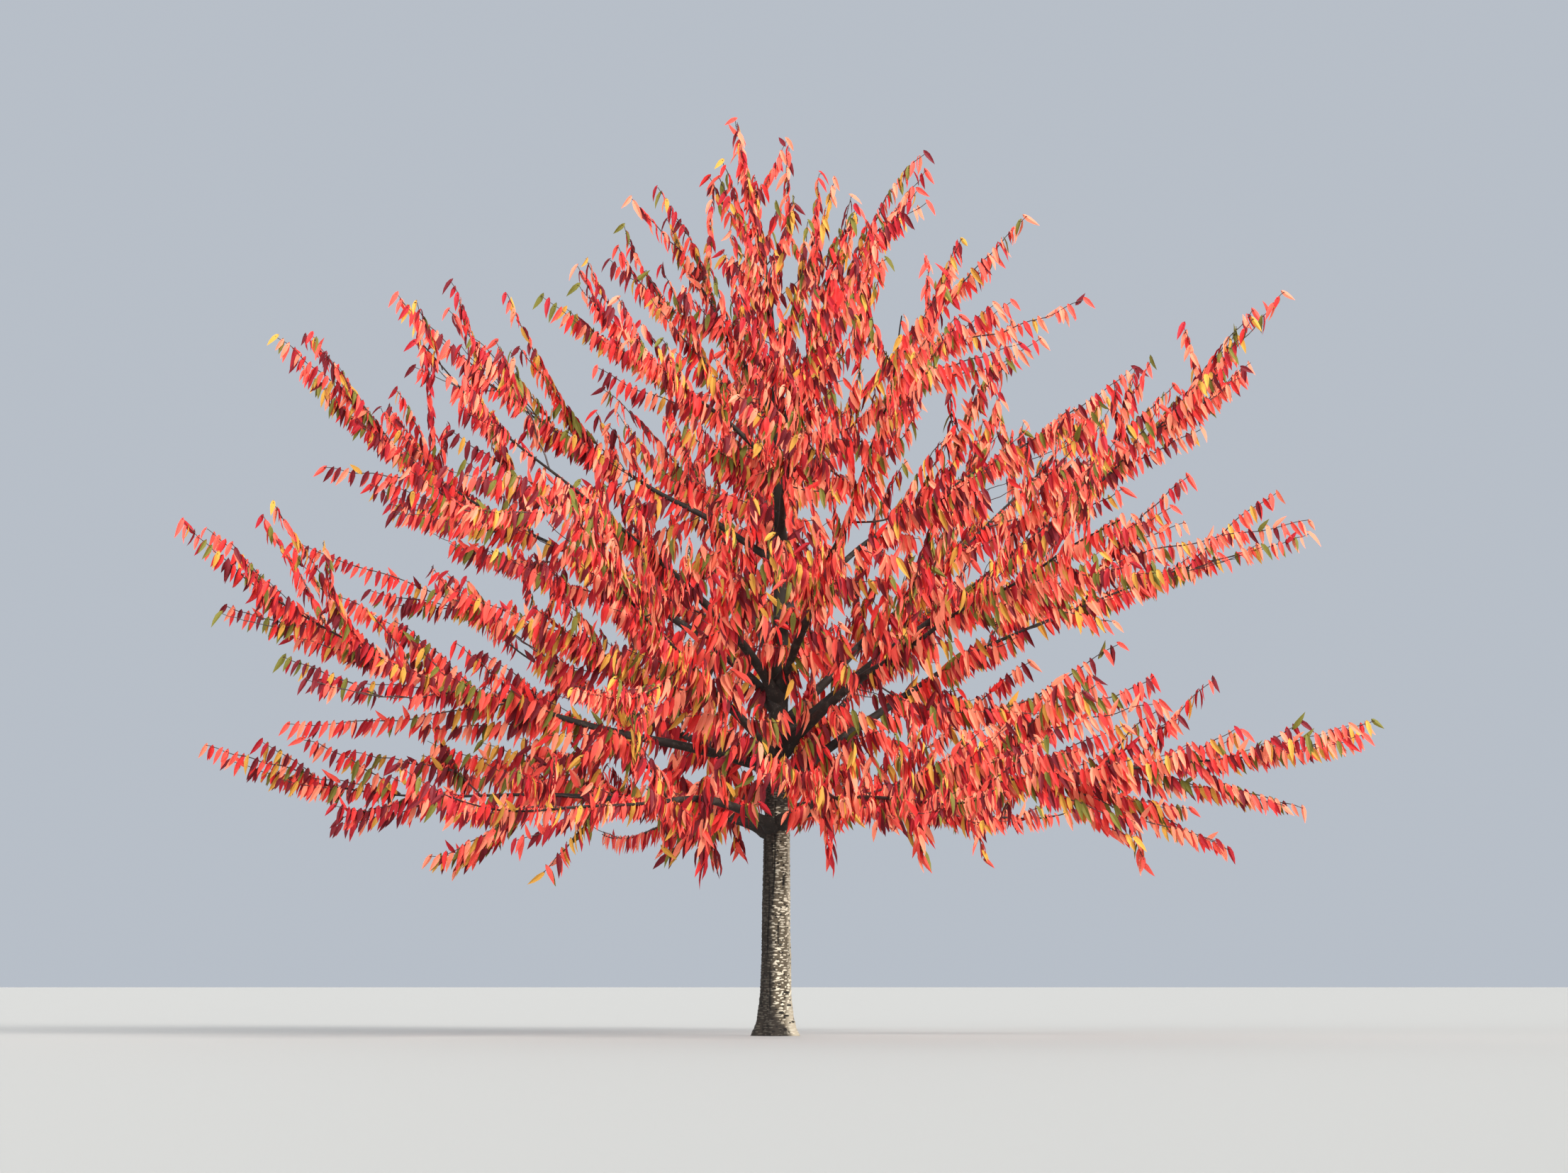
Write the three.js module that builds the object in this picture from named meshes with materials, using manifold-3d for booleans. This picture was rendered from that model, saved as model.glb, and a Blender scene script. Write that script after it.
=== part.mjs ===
// A young cherry tree in autumn leaf, rooted in level ground.
// One trunk with a flared foot runs up through the crown as a leader. Tiers of boughs leave it, and
// each bough, and the leader too, ends in a mass of foliage: a stem with side twigs and hanging
// leaves, every leaf here standing for a spray of real ones.
// Millimetres and degrees, +Z up, origin at the centre of the flat cut at ground level, +X to the
// right and +Y away as the tree is pictured.
import * as THREE from "three";
import { mergeVertices } from "three/addons/utils/BufferGeometryUtils.js";
import Module from "manifold-3d";

const wasm = await Module();
wasm.setup();

// Trunk and leader. The outline gives the radius at each height, and the line gives the lean.
const TREE_HEIGHT = 5600;
const LEADER_END = 4650;
const TRUNK_SIDES = 15;
const TRUNK_STEPS = 13;
const TRUNK_STEP_GROWTH = 1.7;
const TRUNK_OUTLINE = [
  [0, 118],
  [90, 103],
  [260, 92],
  [700, 84],
  [1230, 79],
  [1800, 58],
  [2700, 42],
  [3700, 25],
  [LEADER_END, 13],
];
const TRUNK_LINE = [
  [0, 0, 0],
  [4, -6, 900],
  [14, -14, 1700],
  [30, 4, 2600],
  [12, 22, 3600],
  [-30, 8, 4400],
  [-90, -6, 4850],
  [-155, 0, TREE_HEIGHT - 445],
];
const FLARE = { lobes: 5, height: 120, depth: 0.17, turn: 20 };

// The crown's outline: how high and how low leaves reach at each distance from the trunk.
const CROWN_REACH = 3690;
const CROWN_TOP = [
  [0, TREE_HEIGHT + 30],
  [380, TREE_HEIGHT],
  [1000, 5380],
  [1650, 4960],
  [2400, 4640],
  [3200, 4470],
  [3400, 3650],
  [3640, 3200],
  [CROWN_REACH, 1900],
];
const CROWN_FOOT = [
  [0, 900],
  [2200, 990],
  [3100, 1300],
  [CROWN_REACH, 1700],
];

// Tiers of boughs from the lowest up. left and right are a bough that grows straight to that side:
// how far out and how high its last leaf reaches, and how steeply it starts and ends. A bough in
// any other direction takes values between them. foot is the height on the trunk of the first
// bough, each next one leaves it step higher, and turn is the direction of the first. droop is how
// much lower the boughs that grow straight forwards or backwards end.
const TIERS = [
  {
    name: "skirt", count: 6, turn: 172, foot: 1215, step: 26, girth: 33, droop: 380,
    left: { reach: 3480, height: 1740, start: 24, end: 14 },
    right: { reach: 3660, height: 1850, start: 18, end: 10 },
  },
  {
    name: "lower", count: 6, turn: 10, foot: 1480, step: 44, girth: 35, droop: 0,
    left: { reach: 3600, height: 3040, start: 14, end: 38 },
    right: { reach: 3390, height: 3090, start: 42, end: 14 },
  },
  {
    name: "middle", count: 6, turn: -16, foot: 1790, step: 62, girth: 33, droop: 0,
    left: { reach: 3170, height: 4230, start: 50, end: 42 },
    right: { reach: 3130, height: 4380, start: 38, end: 46 },
  },
  {
    name: "upper", count: 4, turn: 6, foot: 2540, step: 160, girth: 24, droop: 0,
    left: { reach: 2330, height: 4480, start: 34, end: 44 },
    right: { reach: 2250, height: 4100, start: 46, end: 34 },
  },
  {
    name: "high", count: 3, turn: -20, foot: 3180, step: 120, girth: 20, droop: 0,
    left: { reach: 1560, height: 4700, start: 44, end: 56 },
    right: { reach: 1600, height: 4900, start: 56, end: 42 },
  },
  {
    name: "crest", count: 3, turn: 18, foot: 3620, step: 110, girth: 17, droop: 0,
    left: { reach: 960, height: 5120, start: 60, end: 56 },
    right: { reach: 980, height: 5330, start: 70, end: 50 },
  },
];
// Boughs take up the first share of their line, thin to tip, and sway to one side by some degrees.
const BOUGH = { sides: 5, steps: 2, tip: 6, thinning: 0.75, share: 0.25, sway: 7 };

// The branching rule of a mass. Twigs leave the stem one after another, the first a bit of room past
// the bough, each turned round the stem from the last. A twig is base long plus a share of what is
// left of the stem, within the variety given, and it bends from its own angle to a mix of the
// stem's direction, its own side and a lift upwards.
const STEM = { sides: 4, steps: 4, bare: 0.03, leafSpacing: 280 };
const TWIG = {
  room: 90, spacing: 335, turn: 137.5, angle: 50, base: 130, share: 0.5, longest: 1300, shortest: 0.8,
  variety: 0.35, along: 0.75, aside: 0.4, lift: 0.14, girth: 0.5, tip: 5, bare: 0.15, leafSpacing: 220,
  sides: 3, steps: 2,
};
const TOP_TWIG_LIFT = 0.7;
const SKIRT_TWIG_LIFT = -0.12;

// A leaf of the solids stands for a spray: a thin blade with four points and a raised rib. It leaves
// its twig along it, to one side of it and hanging, and it is turned to stand near upright.
const LEAF = {
  length: 470, width: 175, thickness: 12, sink: 1, widestAt: -0.1, ribAt: -0.5,
  along: 0.7, aside: 0.35, asideVariety: 0.3, hang: 0.55, turnVariety: 63,
};

// Sizes that a twig or leaf is tried at before it is skipped, and the places tested on each.
const TRIED_SIZES = [1, 0.85, 0.7, 0.55];
const TWIG_TESTS = [0.4, 0.6, 0.8, 1];
const LEAF_TESTS = [
  [1, 0], [0.5, 0.3], [0.5, -0.3], [LEAF.widestAt, 1], [LEAF.widestAt, -1], [0, 0], [-0.6, 0.4],
  [-0.6, -0.4],
];

const FACE_GAP = 0.3;
const ROOM_BETWEEN_MASSES = 6;
const ROOM_AT_LIMBS = 10;
const LINE_SAMPLES = 14;
const SAME_PLACE = 1e-3;
const SEED = 11;
const UP = new THREE.Vector3(0, 0, 1);

const barkOfTrunk = new THREE.MeshStandardMaterial({ color: 0x7d705d, roughness: 0.9, metalness: 0 });
const barkOfBoughs = new THREE.MeshStandardMaterial({ color: 0x3a3029, roughness: 0.85, metalness: 0 });
const leafTints = [0xf2654f, 0xd92b2b, 0xf47c60, 0xa8232c, 0xe8402f, 0xd9a03c].map(
  (color) => new THREE.MeshStandardMaterial({ color, roughness: 0.6, metalness: 0 }),
);

const radians = THREE.MathUtils.degToRad;
const mix = THREE.MathUtils.lerp;

// A repeatable number from 0 to 1 for one choice, named by whole numbers.
function chance(...keys) {
  let h = SEED;
  for (const key of keys) {
    h = Math.imul(h ^ (key + 1), 0x85ebca6b) >>> 0;
    h = (h ^ (h >>> 13)) >>> 0;
    h = Math.imul(h, 0xc2b2ae35) >>> 0;
    h = (h ^ (h >>> 16)) >>> 0;
  }
  return h / 2 ** 32;
}

// The value at a place on an outline of [place, value] corners.
function onOutline(outline, place) {
  let k = 1;
  while (k < outline.length - 1 && outline[k][0] < place) k += 1;
  const [low, high] = [outline[k - 1], outline[k]];
  return mix(low[1], high[1], THREE.MathUtils.clamp((place - low[0]) / (high[0] - low[0]), 0, 1));
}

const trunkPoints = TRUNK_LINE.map((p) => new THREE.Vector3(...p));
const trunkCurve = new THREE.CatmullRomCurve3(trunkPoints, false, "catmullrom", 0.5);

// The parameter of the trunk's line at a height, found by halving.
function trunkParameter(height) {
  let low = 0;
  let high = 1;
  while (high - low > 1e-9) {
    const middle = (low + high) / 2;
    if (trunkCurve.getPoint(middle).z < height) low = middle;
    else high = middle;
  }
  return low;
}

// A row of points along a curve.
function samplesOf(curve) {
  return Array.from({ length: LINE_SAMPLES + 1 }, (_, k) => curve.getPoint(k / LINE_SAMPLES));
}

// The directions along, across and over a curve at a parameter. across keeps to the level direction
// that is square to the whole curve, so the rings of a limb don't twist.
function frameAt(curve, t) {
  const along = curve.getTangent(t).normalize();
  const chord = curve.getPoint(1).sub(curve.getPoint(0));
  const across = new THREE.Vector3().crossVectors(chord, UP).normalize();
  across.addScaledVector(along, -along.dot(across)).normalize();
  const over = new THREE.Vector3().crossVectors(across, along);
  return { along, across, over };
}

// The parameter a distance further along a curve.
function further(curve, t, distance) {
  const step = 1e-4;
  return t + (distance * step) / curve.getPoint(t + step).distanceTo(curve.getPoint(t));
}

// A sum of directions, each times its share, as one unit direction.
function blend(...parts) {
  const sum = new THREE.Vector3();
  for (const [direction, share] of parts) sum.addScaledVector(direction, share);
  return sum.normalize();
}

// A closed tapering limb along a stretch of a curve: a cylinder whose rings are moved onto it.
// radiusAt gives the radius at the curve's parameter and an angle round the limb. A stepGrowth over
// 1 sets the rings closer together at the start.
function limbGeometry(curve, from, to, radiusAt, sides, steps, stepGrowth = 1) {
  const geometry = new THREE.CylinderGeometry(1, 1, 1, sides, steps).rotateY(Math.PI / 2);
  geometry.deleteAttribute("normal");
  geometry.deleteAttribute("uv");
  const position = geometry.attributes.position;
  const offset = new THREE.Vector3();
  for (let i = 0; i < position.count; i += 1) {
    offset.fromBufferAttribute(position, i);
    const t = mix(from, to, Math.pow(offset.y + 0.5, stepGrowth));
    const { across, over } = frameAt(curve, t);
    const onRim = Math.hypot(offset.x, offset.z) > 0.5;
    const radius = onRim ? radiusAt(t, Math.atan2(offset.x, offset.z)) : 0;
    const point = curve.getPoint(t);
    point.addScaledVector(across, -offset.z * radius).addScaledVector(over, offset.x * radius);
    position.setXYZ(i, ...point);
  }
  return geometry;
}

// A closed geometry as a solid that can be cut and joined.
function solidOf(geometry) {
  const merged = mergeVertices(geometry, SAME_PLACE);
  const vertProperties = new Float32Array(merged.attributes.position.array);
  const triVerts = new Uint32Array(merged.index.array);
  return new wasm.Manifold(new wasm.Mesh({ numProp: 3, vertProperties, triVerts }));
}

// A solid as a named mesh.
function meshOf(name, solid, material) {
  const made = solid.getMesh();
  const geometry = new THREE.BufferGeometry();
  geometry.setAttribute("position", new THREE.BufferAttribute(new Float32Array(made.vertProperties), 3));
  geometry.setIndex(new THREE.BufferAttribute(new Uint32Array(made.triVerts), 1));
  geometry.computeVertexNormals();
  const mesh = new THREE.Mesh(geometry, material);
  mesh.name = name;
  return mesh;
}

// The trunk's radius at a parameter of its line and an angle, with the root flare's lobes.
function trunkRadius(t, angle) {
  const height = trunkCurve.getPoint(t).z;
  const swell = FLARE.depth * Math.exp(-height / FLARE.height);
  const lobe = 1 + Math.cos(FLARE.lobes * angle + radians(FLARE.turn));
  return onOutline(TRUNK_OUTLINE, height) * (1 + swell * lobe);
}

// The trunk, or the same shape grown by a gap for cutting what meets it.
function trunkSolid(gap) {
  const end = trunkParameter(LEADER_END);
  const radiusAt = (t, angle) => trunkRadius(t, angle) + gap;
  const geometry = limbGeometry(trunkCurve, 0, end, radiusAt, TRUNK_SIDES, TRUNK_STEPS, TRUNK_STEP_GROWTH);
  const position = geometry.attributes.position;
  for (let i = 0; i < position.count; i += 1) {
    if (position.getZ(i) < 1) position.setZ(i, 0);
  }
  return solidOf(geometry);
}

// A tier's value for a bough that grows in a direction, between its left and right values.
function tierValue(tier, key, azimuth) {
  return mix(tier.left[key], tier.right[key], (1 + Math.cos(azimuth)) / 2);
}

// A level direction raised by an angle in degrees.
function raised(azimuth, degrees) {
  const level = Math.cos(radians(degrees));
  return new THREE.Vector3(level * Math.cos(azimuth), level * Math.sin(azimuth), Math.sin(radians(degrees)));
}

// The line of one bough: from the trunk's axis to the end of the stem in its mass. share is where
// along it the bough ends and the mass begins, and lift is how far its twigs turn up.
function boughLine(tier, level, n) {
  const azimuth = radians(tier.turn + (360 * n) / tier.count);
  const sway = radians(BOUGH.sway) * (2 * chance(level, n, 1) - 1);
  const start = raised(azimuth + sway, tierValue(tier, "start", azimuth));
  const end = raised(azimuth - sway, tierValue(tier, "end", azimuth));
  const foot = trunkCurve.getPoint(trunkParameter(tier.foot + tier.step * n));
  const tip = raised(azimuth, 0).multiplyScalar(tierValue(tier, "reach", azimuth));
  tip.setZ(tierValue(tier, "height", azimuth) - tier.droop * Math.abs(Math.sin(azimuth)));
  tip.addScaledVector(end, -LEAF.length);
  const third = foot.distanceTo(tip) / 3;
  const bendOut = foot.clone().addScaledVector(start, third);
  const bendIn = tip.clone().addScaledVector(end, -third);
  return {
    name: `${tier.name}_${n + 1}`, level, n, share: BOUGH.share,
    curve: new THREE.CubicBezierCurve3(foot, bendOut, bendIn, tip),
    lift: level === 0 ? SKIRT_TWIG_LIFT : TWIG.lift,
    radiusAt: (t) => mix(tier.girth, BOUGH.tip, Math.pow(t, BOUGH.thinning)),
  };
}

// The line of the leader, whose own tip is the crown's top.
function leaderLine() {
  const share = trunkParameter(LEADER_END);
  const girth = onOutline(TRUNK_OUTLINE, LEADER_END);
  return {
    name: "top", level: TIERS.length, n: 0, share, curve: trunkCurve, lift: TOP_TWIG_LIFT,
    radiusAt: (t) => mix(girth, BOUGH.tip, (t - share) / (1 - share)),
  };
}

// Every line that carries foliage, with its length and the points that stand for it in tests.
function growthLines() {
  const lines = [];
  TIERS.forEach((tier, level) => {
    for (let n = 0; n < tier.count; n += 1) lines.push(boughLine(tier, level, n));
  });
  lines.push(leaderLine());
  for (const line of lines) {
    line.length = line.curve.getLength();
    line.samples = samplesOf(line.curve);
  }
  return lines;
}

// How far a point is from a row of sample points, and where along it, from 0 to 1, it is nearest.
function nearestOn(samples, point) {
  const piece = new THREE.Line3();
  const nearest = new THREE.Vector3();
  let best = { distance: Infinity, at: 0 };
  for (let k = 1; k < samples.length; k += 1) {
    piece.set(samples[k - 1], samples[k]);
    const part = piece.closestPointToPointParameter(point, true);
    const distance = piece.at(part, nearest).distanceTo(point);
    if (distance < best.distance) best = { distance, at: (k - 1 + part) / (samples.length - 1) };
  }
  return best;
}

// True where a point is inside the crown's outline.
function inCrown(point) {
  const out = Math.hypot(point.x, point.y);
  return out < CROWN_REACH && point.z < onOutline(CROWN_TOP, out) && point.z > onOutline(CROWN_FOOT, out);
}

// True where a point lies in a line's own space: inside the crown, off every limb, and nearer to
// this line than to any other.
function inOwnSpace(point, own, lines) {
  if (!inCrown(point)) return false;
  const mine = nearestOn(own.samples, point);
  if (mine.at < own.share && mine.distance < own.radiusAt(mine.at) + ROOM_AT_LIMBS) return false;
  const trunk = nearestOn(trunkSamples, point);
  const trunkRoom = onOutline(TRUNK_OUTLINE, point.z) + ROOM_AT_LIMBS;
  if (own.curve !== trunkCurve && trunk.distance < trunkRoom) return false;
  return lines.every((other) => {
    if (other === own) return true;
    const theirs = nearestOn(other.samples, point);
    const limb = other.radiusAt(theirs.at) + ROOM_AT_LIMBS;
    return theirs.distance > Math.max(limb, mine.distance + ROOM_BETWEEN_MASSES);
  });
}

// One side twig of a line at a parameter, or null where it fits at none of the sizes tried.
function twigCurve(line, t, k, fits) {
  const { along, across, over } = frameAt(line.curve, t);
  const roll = radians(TWIG.turn * k + 360 * chance(line.level, line.n, 2));
  const angle = radians(TWIG.angle);
  const aside = blend([across, Math.cos(roll)], [over, Math.sin(roll)]);
  const start = blend([along, Math.cos(angle)], [aside, Math.sin(angle)]);
  const end = blend([along, TWIG.along], [aside, TWIG.aside], [UP, line.lift]);
  const reach = Math.min(TWIG.base + TWIG.share * line.length * (1 - t), TWIG.longest);
  const half = (reach * (TWIG.shortest + TWIG.variety * chance(line.level, line.n, 3, k))) / 2;
  const foot = line.curve.getPoint(t);
  for (const size of TRIED_SIZES) {
    const bend = foot.clone().addScaledVector(start, size * half);
    const tip = bend.clone().addScaledVector(end, size * half);
    const twig = new THREE.QuadraticBezierCurve3(foot, bend, tip);
    if (TWIG_TESTS.every((u) => fits(twig.getPoint(u)))) return twig;
  }
  return null;
}

// A unit leaf: an octahedron with its sides and its rib moved towards the root and its back flat.
function unitLeaf() {
  const blade = new THREE.OctahedronGeometry(1, 0);
  blade.deleteAttribute("normal");
  blade.deleteAttribute("uv");
  const position = blade.attributes.position;
  for (let i = 0; i < position.count; i += 1) {
    if (Math.abs(position.getY(i)) > 0.5) position.setX(i, LEAF.widestAt);
    if (position.getZ(i) > 0.5) position.setX(i, LEAF.ribAt);
    if (position.getZ(i) < -0.5) position.setXYZ(i, LEAF.ribAt, 0, 0);
  }
  return blade;
}

// A leaf as the matrix that places the unit leaf, its root sunk in the limb that carries it.
function leafMatrix(root, direction, turn, size) {
  const across = blend([new THREE.Vector3().crossVectors(direction, UP), 1]).applyAxisAngle(direction, turn);
  const over = new THREE.Vector3().crossVectors(direction, across);
  const half = (LEAF.length * size + LEAF.sink) / 2;
  const centre = root.clone().addScaledVector(direction, half - LEAF.sink);
  return new THREE.Matrix4()
    .makeBasis(direction, across, over)
    .scale(new THREE.Vector3(half, (LEAF.width * size) / 2, LEAF.thickness / 2))
    .setPosition(centre);
}

// The leaves along a limb from a parameter on, to both sides in turn, and one straight on at its
// tip. A leaf that would leave the space is tried smaller, and then skipped.
function leavesAlong(curve, from, spacing, keys, fits) {
  const leaves = [];
  const count = Math.max(1, Math.round((curve.getLength() * (1 - from)) / spacing));
  for (let k = 1; k <= count; k += 1) {
    const t = mix(from, 1, k / count);
    const { along, across } = frameAt(curve, t);
    const side = (k % 2 ? 1 : -1) * (LEAF.aside + LEAF.asideVariety * chance(...keys, k, 4));
    const hanging = blend([along, LEAF.along], [across, side], [UP, -LEAF.hang]);
    const turn = radians(90 + LEAF.turnVariety * (2 * chance(...keys, k, 5) - 1));
    const direction = k < count ? hanging : along;
    const tries = TRIED_SIZES.map((size) => leafMatrix(curve.getPoint(t), direction, turn, size));
    const fitting = tries.find((matrix) =>
      LEAF_TESTS.every(([x, y]) => fits(new THREE.Vector3(x, y, 0).applyMatrix4(matrix))),
    );
    if (fitting) leaves.push(fitting);
  }
  return leaves;
}

// The twigs of a line that carry at least one leaf, as solids, and the leaves on them.
function twigsOf(line, fits) {
  const solids = [];
  const leaves = [];
  const step = TWIG.spacing / line.length;
  const first = line.share + TWIG.room / line.length;
  for (let k = 0; first + k * step < 1 - step / 2; k += 1) {
    const t = first + k * step;
    const twig = twigCurve(line, t, k, fits);
    const own = twig ? leavesAlong(twig, TWIG.bare, TWIG.leafSpacing, [line.level, line.n, k], fits) : [];
    if (own.length === 0) continue;
    const root = Math.max(TWIG.tip, TWIG.girth * line.radiusAt(t));
    const radiusAt = (u) => mix(root, TWIG.tip, u);
    solids.push(solidOf(limbGeometry(twig, 0, 1, radiusAt, TWIG.sides, TWIG.steps)));
    leaves.push(...own);
  }
  return { solids, leaves };
}

// The mass of foliage on a line: its stem, its twigs and their leaves, joined, with no loose scrap.
function massSolid(line, lines) {
  const fits = (point) => inOwnSpace(point, line, lines);
  const from = further(line.curve, line.share, FACE_GAP);
  const stem = solidOf(limbGeometry(line.curve, from, 1, line.radiusAt, STEM.sides, STEM.steps));
  const twigs = twigsOf(line, fits);
  const stemKeys = [line.level, line.n, TIERS.length];
  const stemLeaves = leavesAlong(line.curve, from + STEM.bare, STEM.leafSpacing, stemKeys, fits);
  const leaves = [...twigs.leaves, ...stemLeaves].map((matrix) => solidOf(unitLeaf().applyMatrix4(matrix)));
  const mass = [...twigs.solids, ...leaves].reduce((sum, solid) => sum.add(solid), stem);
  return mass.decompose().sort((a, b) => b.volume() - a.volume())[0];
}

// The part of a bough that shows bare: from the trunk to where its mass begins.
function boughSolid(line, cutter) {
  const whole = limbGeometry(line.curve, 0, line.share, line.radiusAt, BOUGH.sides, BOUGH.steps);
  return solidOf(whole).subtract(cutter);
}

const trunkSamples = samplesOf(trunkCurve);
const cutter = trunkSolid(FACE_GAP);
const lines = growthLines();
const tree = new THREE.Group();
tree.add(meshOf("trunk", trunkSolid(0), barkOfTrunk));
for (const line of lines.filter(({ curve }) => curve !== trunkCurve)) {
  tree.add(meshOf(`bough_${line.name}`, boughSolid(line, cutter), barkOfBoughs));
}
lines.forEach((line, k) => {
  tree.add(meshOf(`foliage_${line.name}`, massSolid(line, lines), leafTints[k % leafTints.length]));
});

export default tree;
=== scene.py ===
"""A young cherry tree in autumn leaf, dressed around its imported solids.

The trunk and boughs get a bark with relief. Twigs, finer twigs, buds and leaves grow on from the
limbs by the rule that made the solids, carried one step finer. Metres, +Z up, origin at the centre
of the flat cut at ground level.
"""
import math
from typing import NamedTuple

import bpy
import numpy as np
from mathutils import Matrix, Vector, noise


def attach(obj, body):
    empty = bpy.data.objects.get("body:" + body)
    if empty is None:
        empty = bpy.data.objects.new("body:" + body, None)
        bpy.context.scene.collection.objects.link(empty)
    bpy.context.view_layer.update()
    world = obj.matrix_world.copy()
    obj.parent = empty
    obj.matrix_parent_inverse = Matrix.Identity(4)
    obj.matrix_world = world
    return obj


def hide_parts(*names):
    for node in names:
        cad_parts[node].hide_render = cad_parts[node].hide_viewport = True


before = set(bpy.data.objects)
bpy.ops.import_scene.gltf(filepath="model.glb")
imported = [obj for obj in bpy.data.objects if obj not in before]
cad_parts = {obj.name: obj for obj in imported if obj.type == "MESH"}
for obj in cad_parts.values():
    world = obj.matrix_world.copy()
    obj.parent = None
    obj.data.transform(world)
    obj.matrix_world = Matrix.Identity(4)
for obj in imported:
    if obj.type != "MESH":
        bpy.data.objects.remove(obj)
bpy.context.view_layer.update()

bl_info = {
    "name": "Cherry Tree in Autumn Leaf",
    "version": (1, 0, 0),
    "blender": (4, 5, 0),
    "location": "3D View > Sidebar > Tree",
    "description": "Bark, boughs, twigs, buds and leaves of a young cherry tree around its solids",
    "category": "Add Mesh",
}

BOUGH_NODES = sorted(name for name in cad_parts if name.startswith("bough_"))
FOLIAGE_NODES = sorted(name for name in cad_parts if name.startswith("foliage_"))
UP = np.array([0.0, 0.0, 1.0])

# Trunk and leader. The outline gives the radius at each height, and the line gives the lean.
TREE_HEIGHT = 5.6
LEADER_END = 4.65
TRUNK_OUTLINE = np.array([
    (0, 0.118), (0.09, 0.103), (0.26, 0.092), (0.7, 0.084), (1.23, 0.079), (1.8, 0.058), (2.7, 0.042),
    (3.7, 0.025), (LEADER_END, 0.013),
])
TRUNK_LINE = np.array([
    (0, 0, 0), (0.004, -0.006, 0.9), (0.014, -0.014, 1.7), (0.03, 0.004, 2.6), (0.012, 0.022, 3.6),
    (-0.03, 0.008, 4.4), (-0.09, -0.006, 4.85), (-0.155, 0, TREE_HEIGHT - 0.445),
])
FLARE = {"lobes": 5, "height": 0.12, "depth": 0.17, "turn": 20}

# The trunk's marks: pale corky flecks in uneven rows, and dark scars between them. Each has how far
# apart its rows are, below and above the detail height, and its places in a row, the share of places
# that has one, how far they stray from their row, and the least and greatest half width and half height.
FLECK = {"row": 0.0144, "row_above": 0.04, "apart": 0.033, "kept": 0.92, "stray": 0.012,
         "half_width": (0.005, 0.019), "half_height": (0.0028, 0.0055)}
SCAR = {"row": 0.028, "row_above": 0.09, "apart": 0.072, "kept": 0.9, "stray": 0.028,
        "half_width": (0.0052, 0.0105), "half_height": (0.004, 0.0066)}
# Long dark dashes on the right of the foot: degrees round from the front, height, and half sizes.
FOOT_DASHES = (
    (44, 0.262, 0.03, 0.0055), (56, 0.185, 0.02, 0.007), (20, 0.14, 0.019, 0.008),
    (40, 0.122, 0.018, 0.006), (62, 0.085, 0.013, 0.006), (30, 0.04, 0.016, 0.008),
)
# Upright cracks: degrees round from the front, and the heights between which each runs.
LONG_CRACKS = (
    (-12, 0.78, 1.42), (-36, 0.45, 0.98), (7, 0.53, 0.69), (-24, 0.1, 0.43), (28, 0.88, 0.97),
    (36, 0.9, 0.98), (-55, 0.9, 1.3), (118, 0.1, 1.2), (208, 0.02, 0.9), (164, 0.6, 1.3),
)
LONG_CRACK_HALF_WIDTH = 0.0048
SHORT_CRACKS = {"count": 22, "length": (0.05, 0.2), "half_width": (0.0026, 0.004)}
# A crack wanders by two waves. Each has how far, how many there are to a metre, and a place in the
# noise, in which each crack lies this far from the next.
CRACK_WAVES = ((0.011, 5, 0.5), (0.004, 26, 3.5))
CRACKS_APART = 7.3

# Marks and relief have their full size where the trunk's radius is this or more, and relief has at
# least this share of it where the trunk is thin. The rows of marks start and end at these heights.
FULL_RADIUS = 0.07
LEAST_RELIEF = 0.35
MARKS_FROM = 0.012
MARKS_END = LEADER_END - 0.1
# How deep a scar is, as a share of how far a fleck stands out.
SCAR_DEPTH = 0.8
# How square a mark is. At 2 it is an ellipse.
MARK_SQUARENESS = 2.4
# The bark's swellings, in waves to a metre along X, Y and Z, and how deep they are. Toes are at the foot.
BROAD_WAVES = (9, 9, 3.2)
BANDS = {"waves": (16, 16, 130), "depth": 0.0009}
TOES = {"waves": (26, 26, 17), "depth": 0.009, "height": 0.09}
# Painted shade on the left of the trunk and painted light on its right: how many degrees round from the
# front its middle is, how far it reaches to each side, how much further at the foot and up to which height,
# over how many degrees it fades, and how uneven its edge is. In the crown all of the bark is as dark as on
# the shaded side: partly painted shade under the crown, partly the boughs' darker bark.
PAINTED_SHADE_SIDE = {"middle": -97, "reach": 104, "more": 56, "height": 0.13, "fade": 36, "uneven": 0.45}
PAINTED_LIGHT_SIDE = {"middle": 85, "reach": 38, "more": 26, "height": 0.2, "fade": 22, "uneven": 0.5}
DARK_IN_CROWN = {"from": 1.34, "over": 0.1}
EDGE_WAVES = (((11, 11, 7), 1.0), ((34, 34, 16), 0.5))

# The crown's outline: how high and how low leaves reach at each distance from the trunk.
CROWN_REACH = 3.69
CROWN_TOP = np.array([
    (0, TREE_HEIGHT + 0.03), (0.38, TREE_HEIGHT), (1, 5.38), (1.65, 4.96), (2.4, 4.64), (3.2, 4.47),
    (3.4, 3.65), (3.64, 3.2), (CROWN_REACH, 1.9),
])
CROWN_FOOT = np.array([(0, 0.9), (2.2, 0.99), (3.1, 1.3), (CROWN_REACH, 1.7)])

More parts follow.
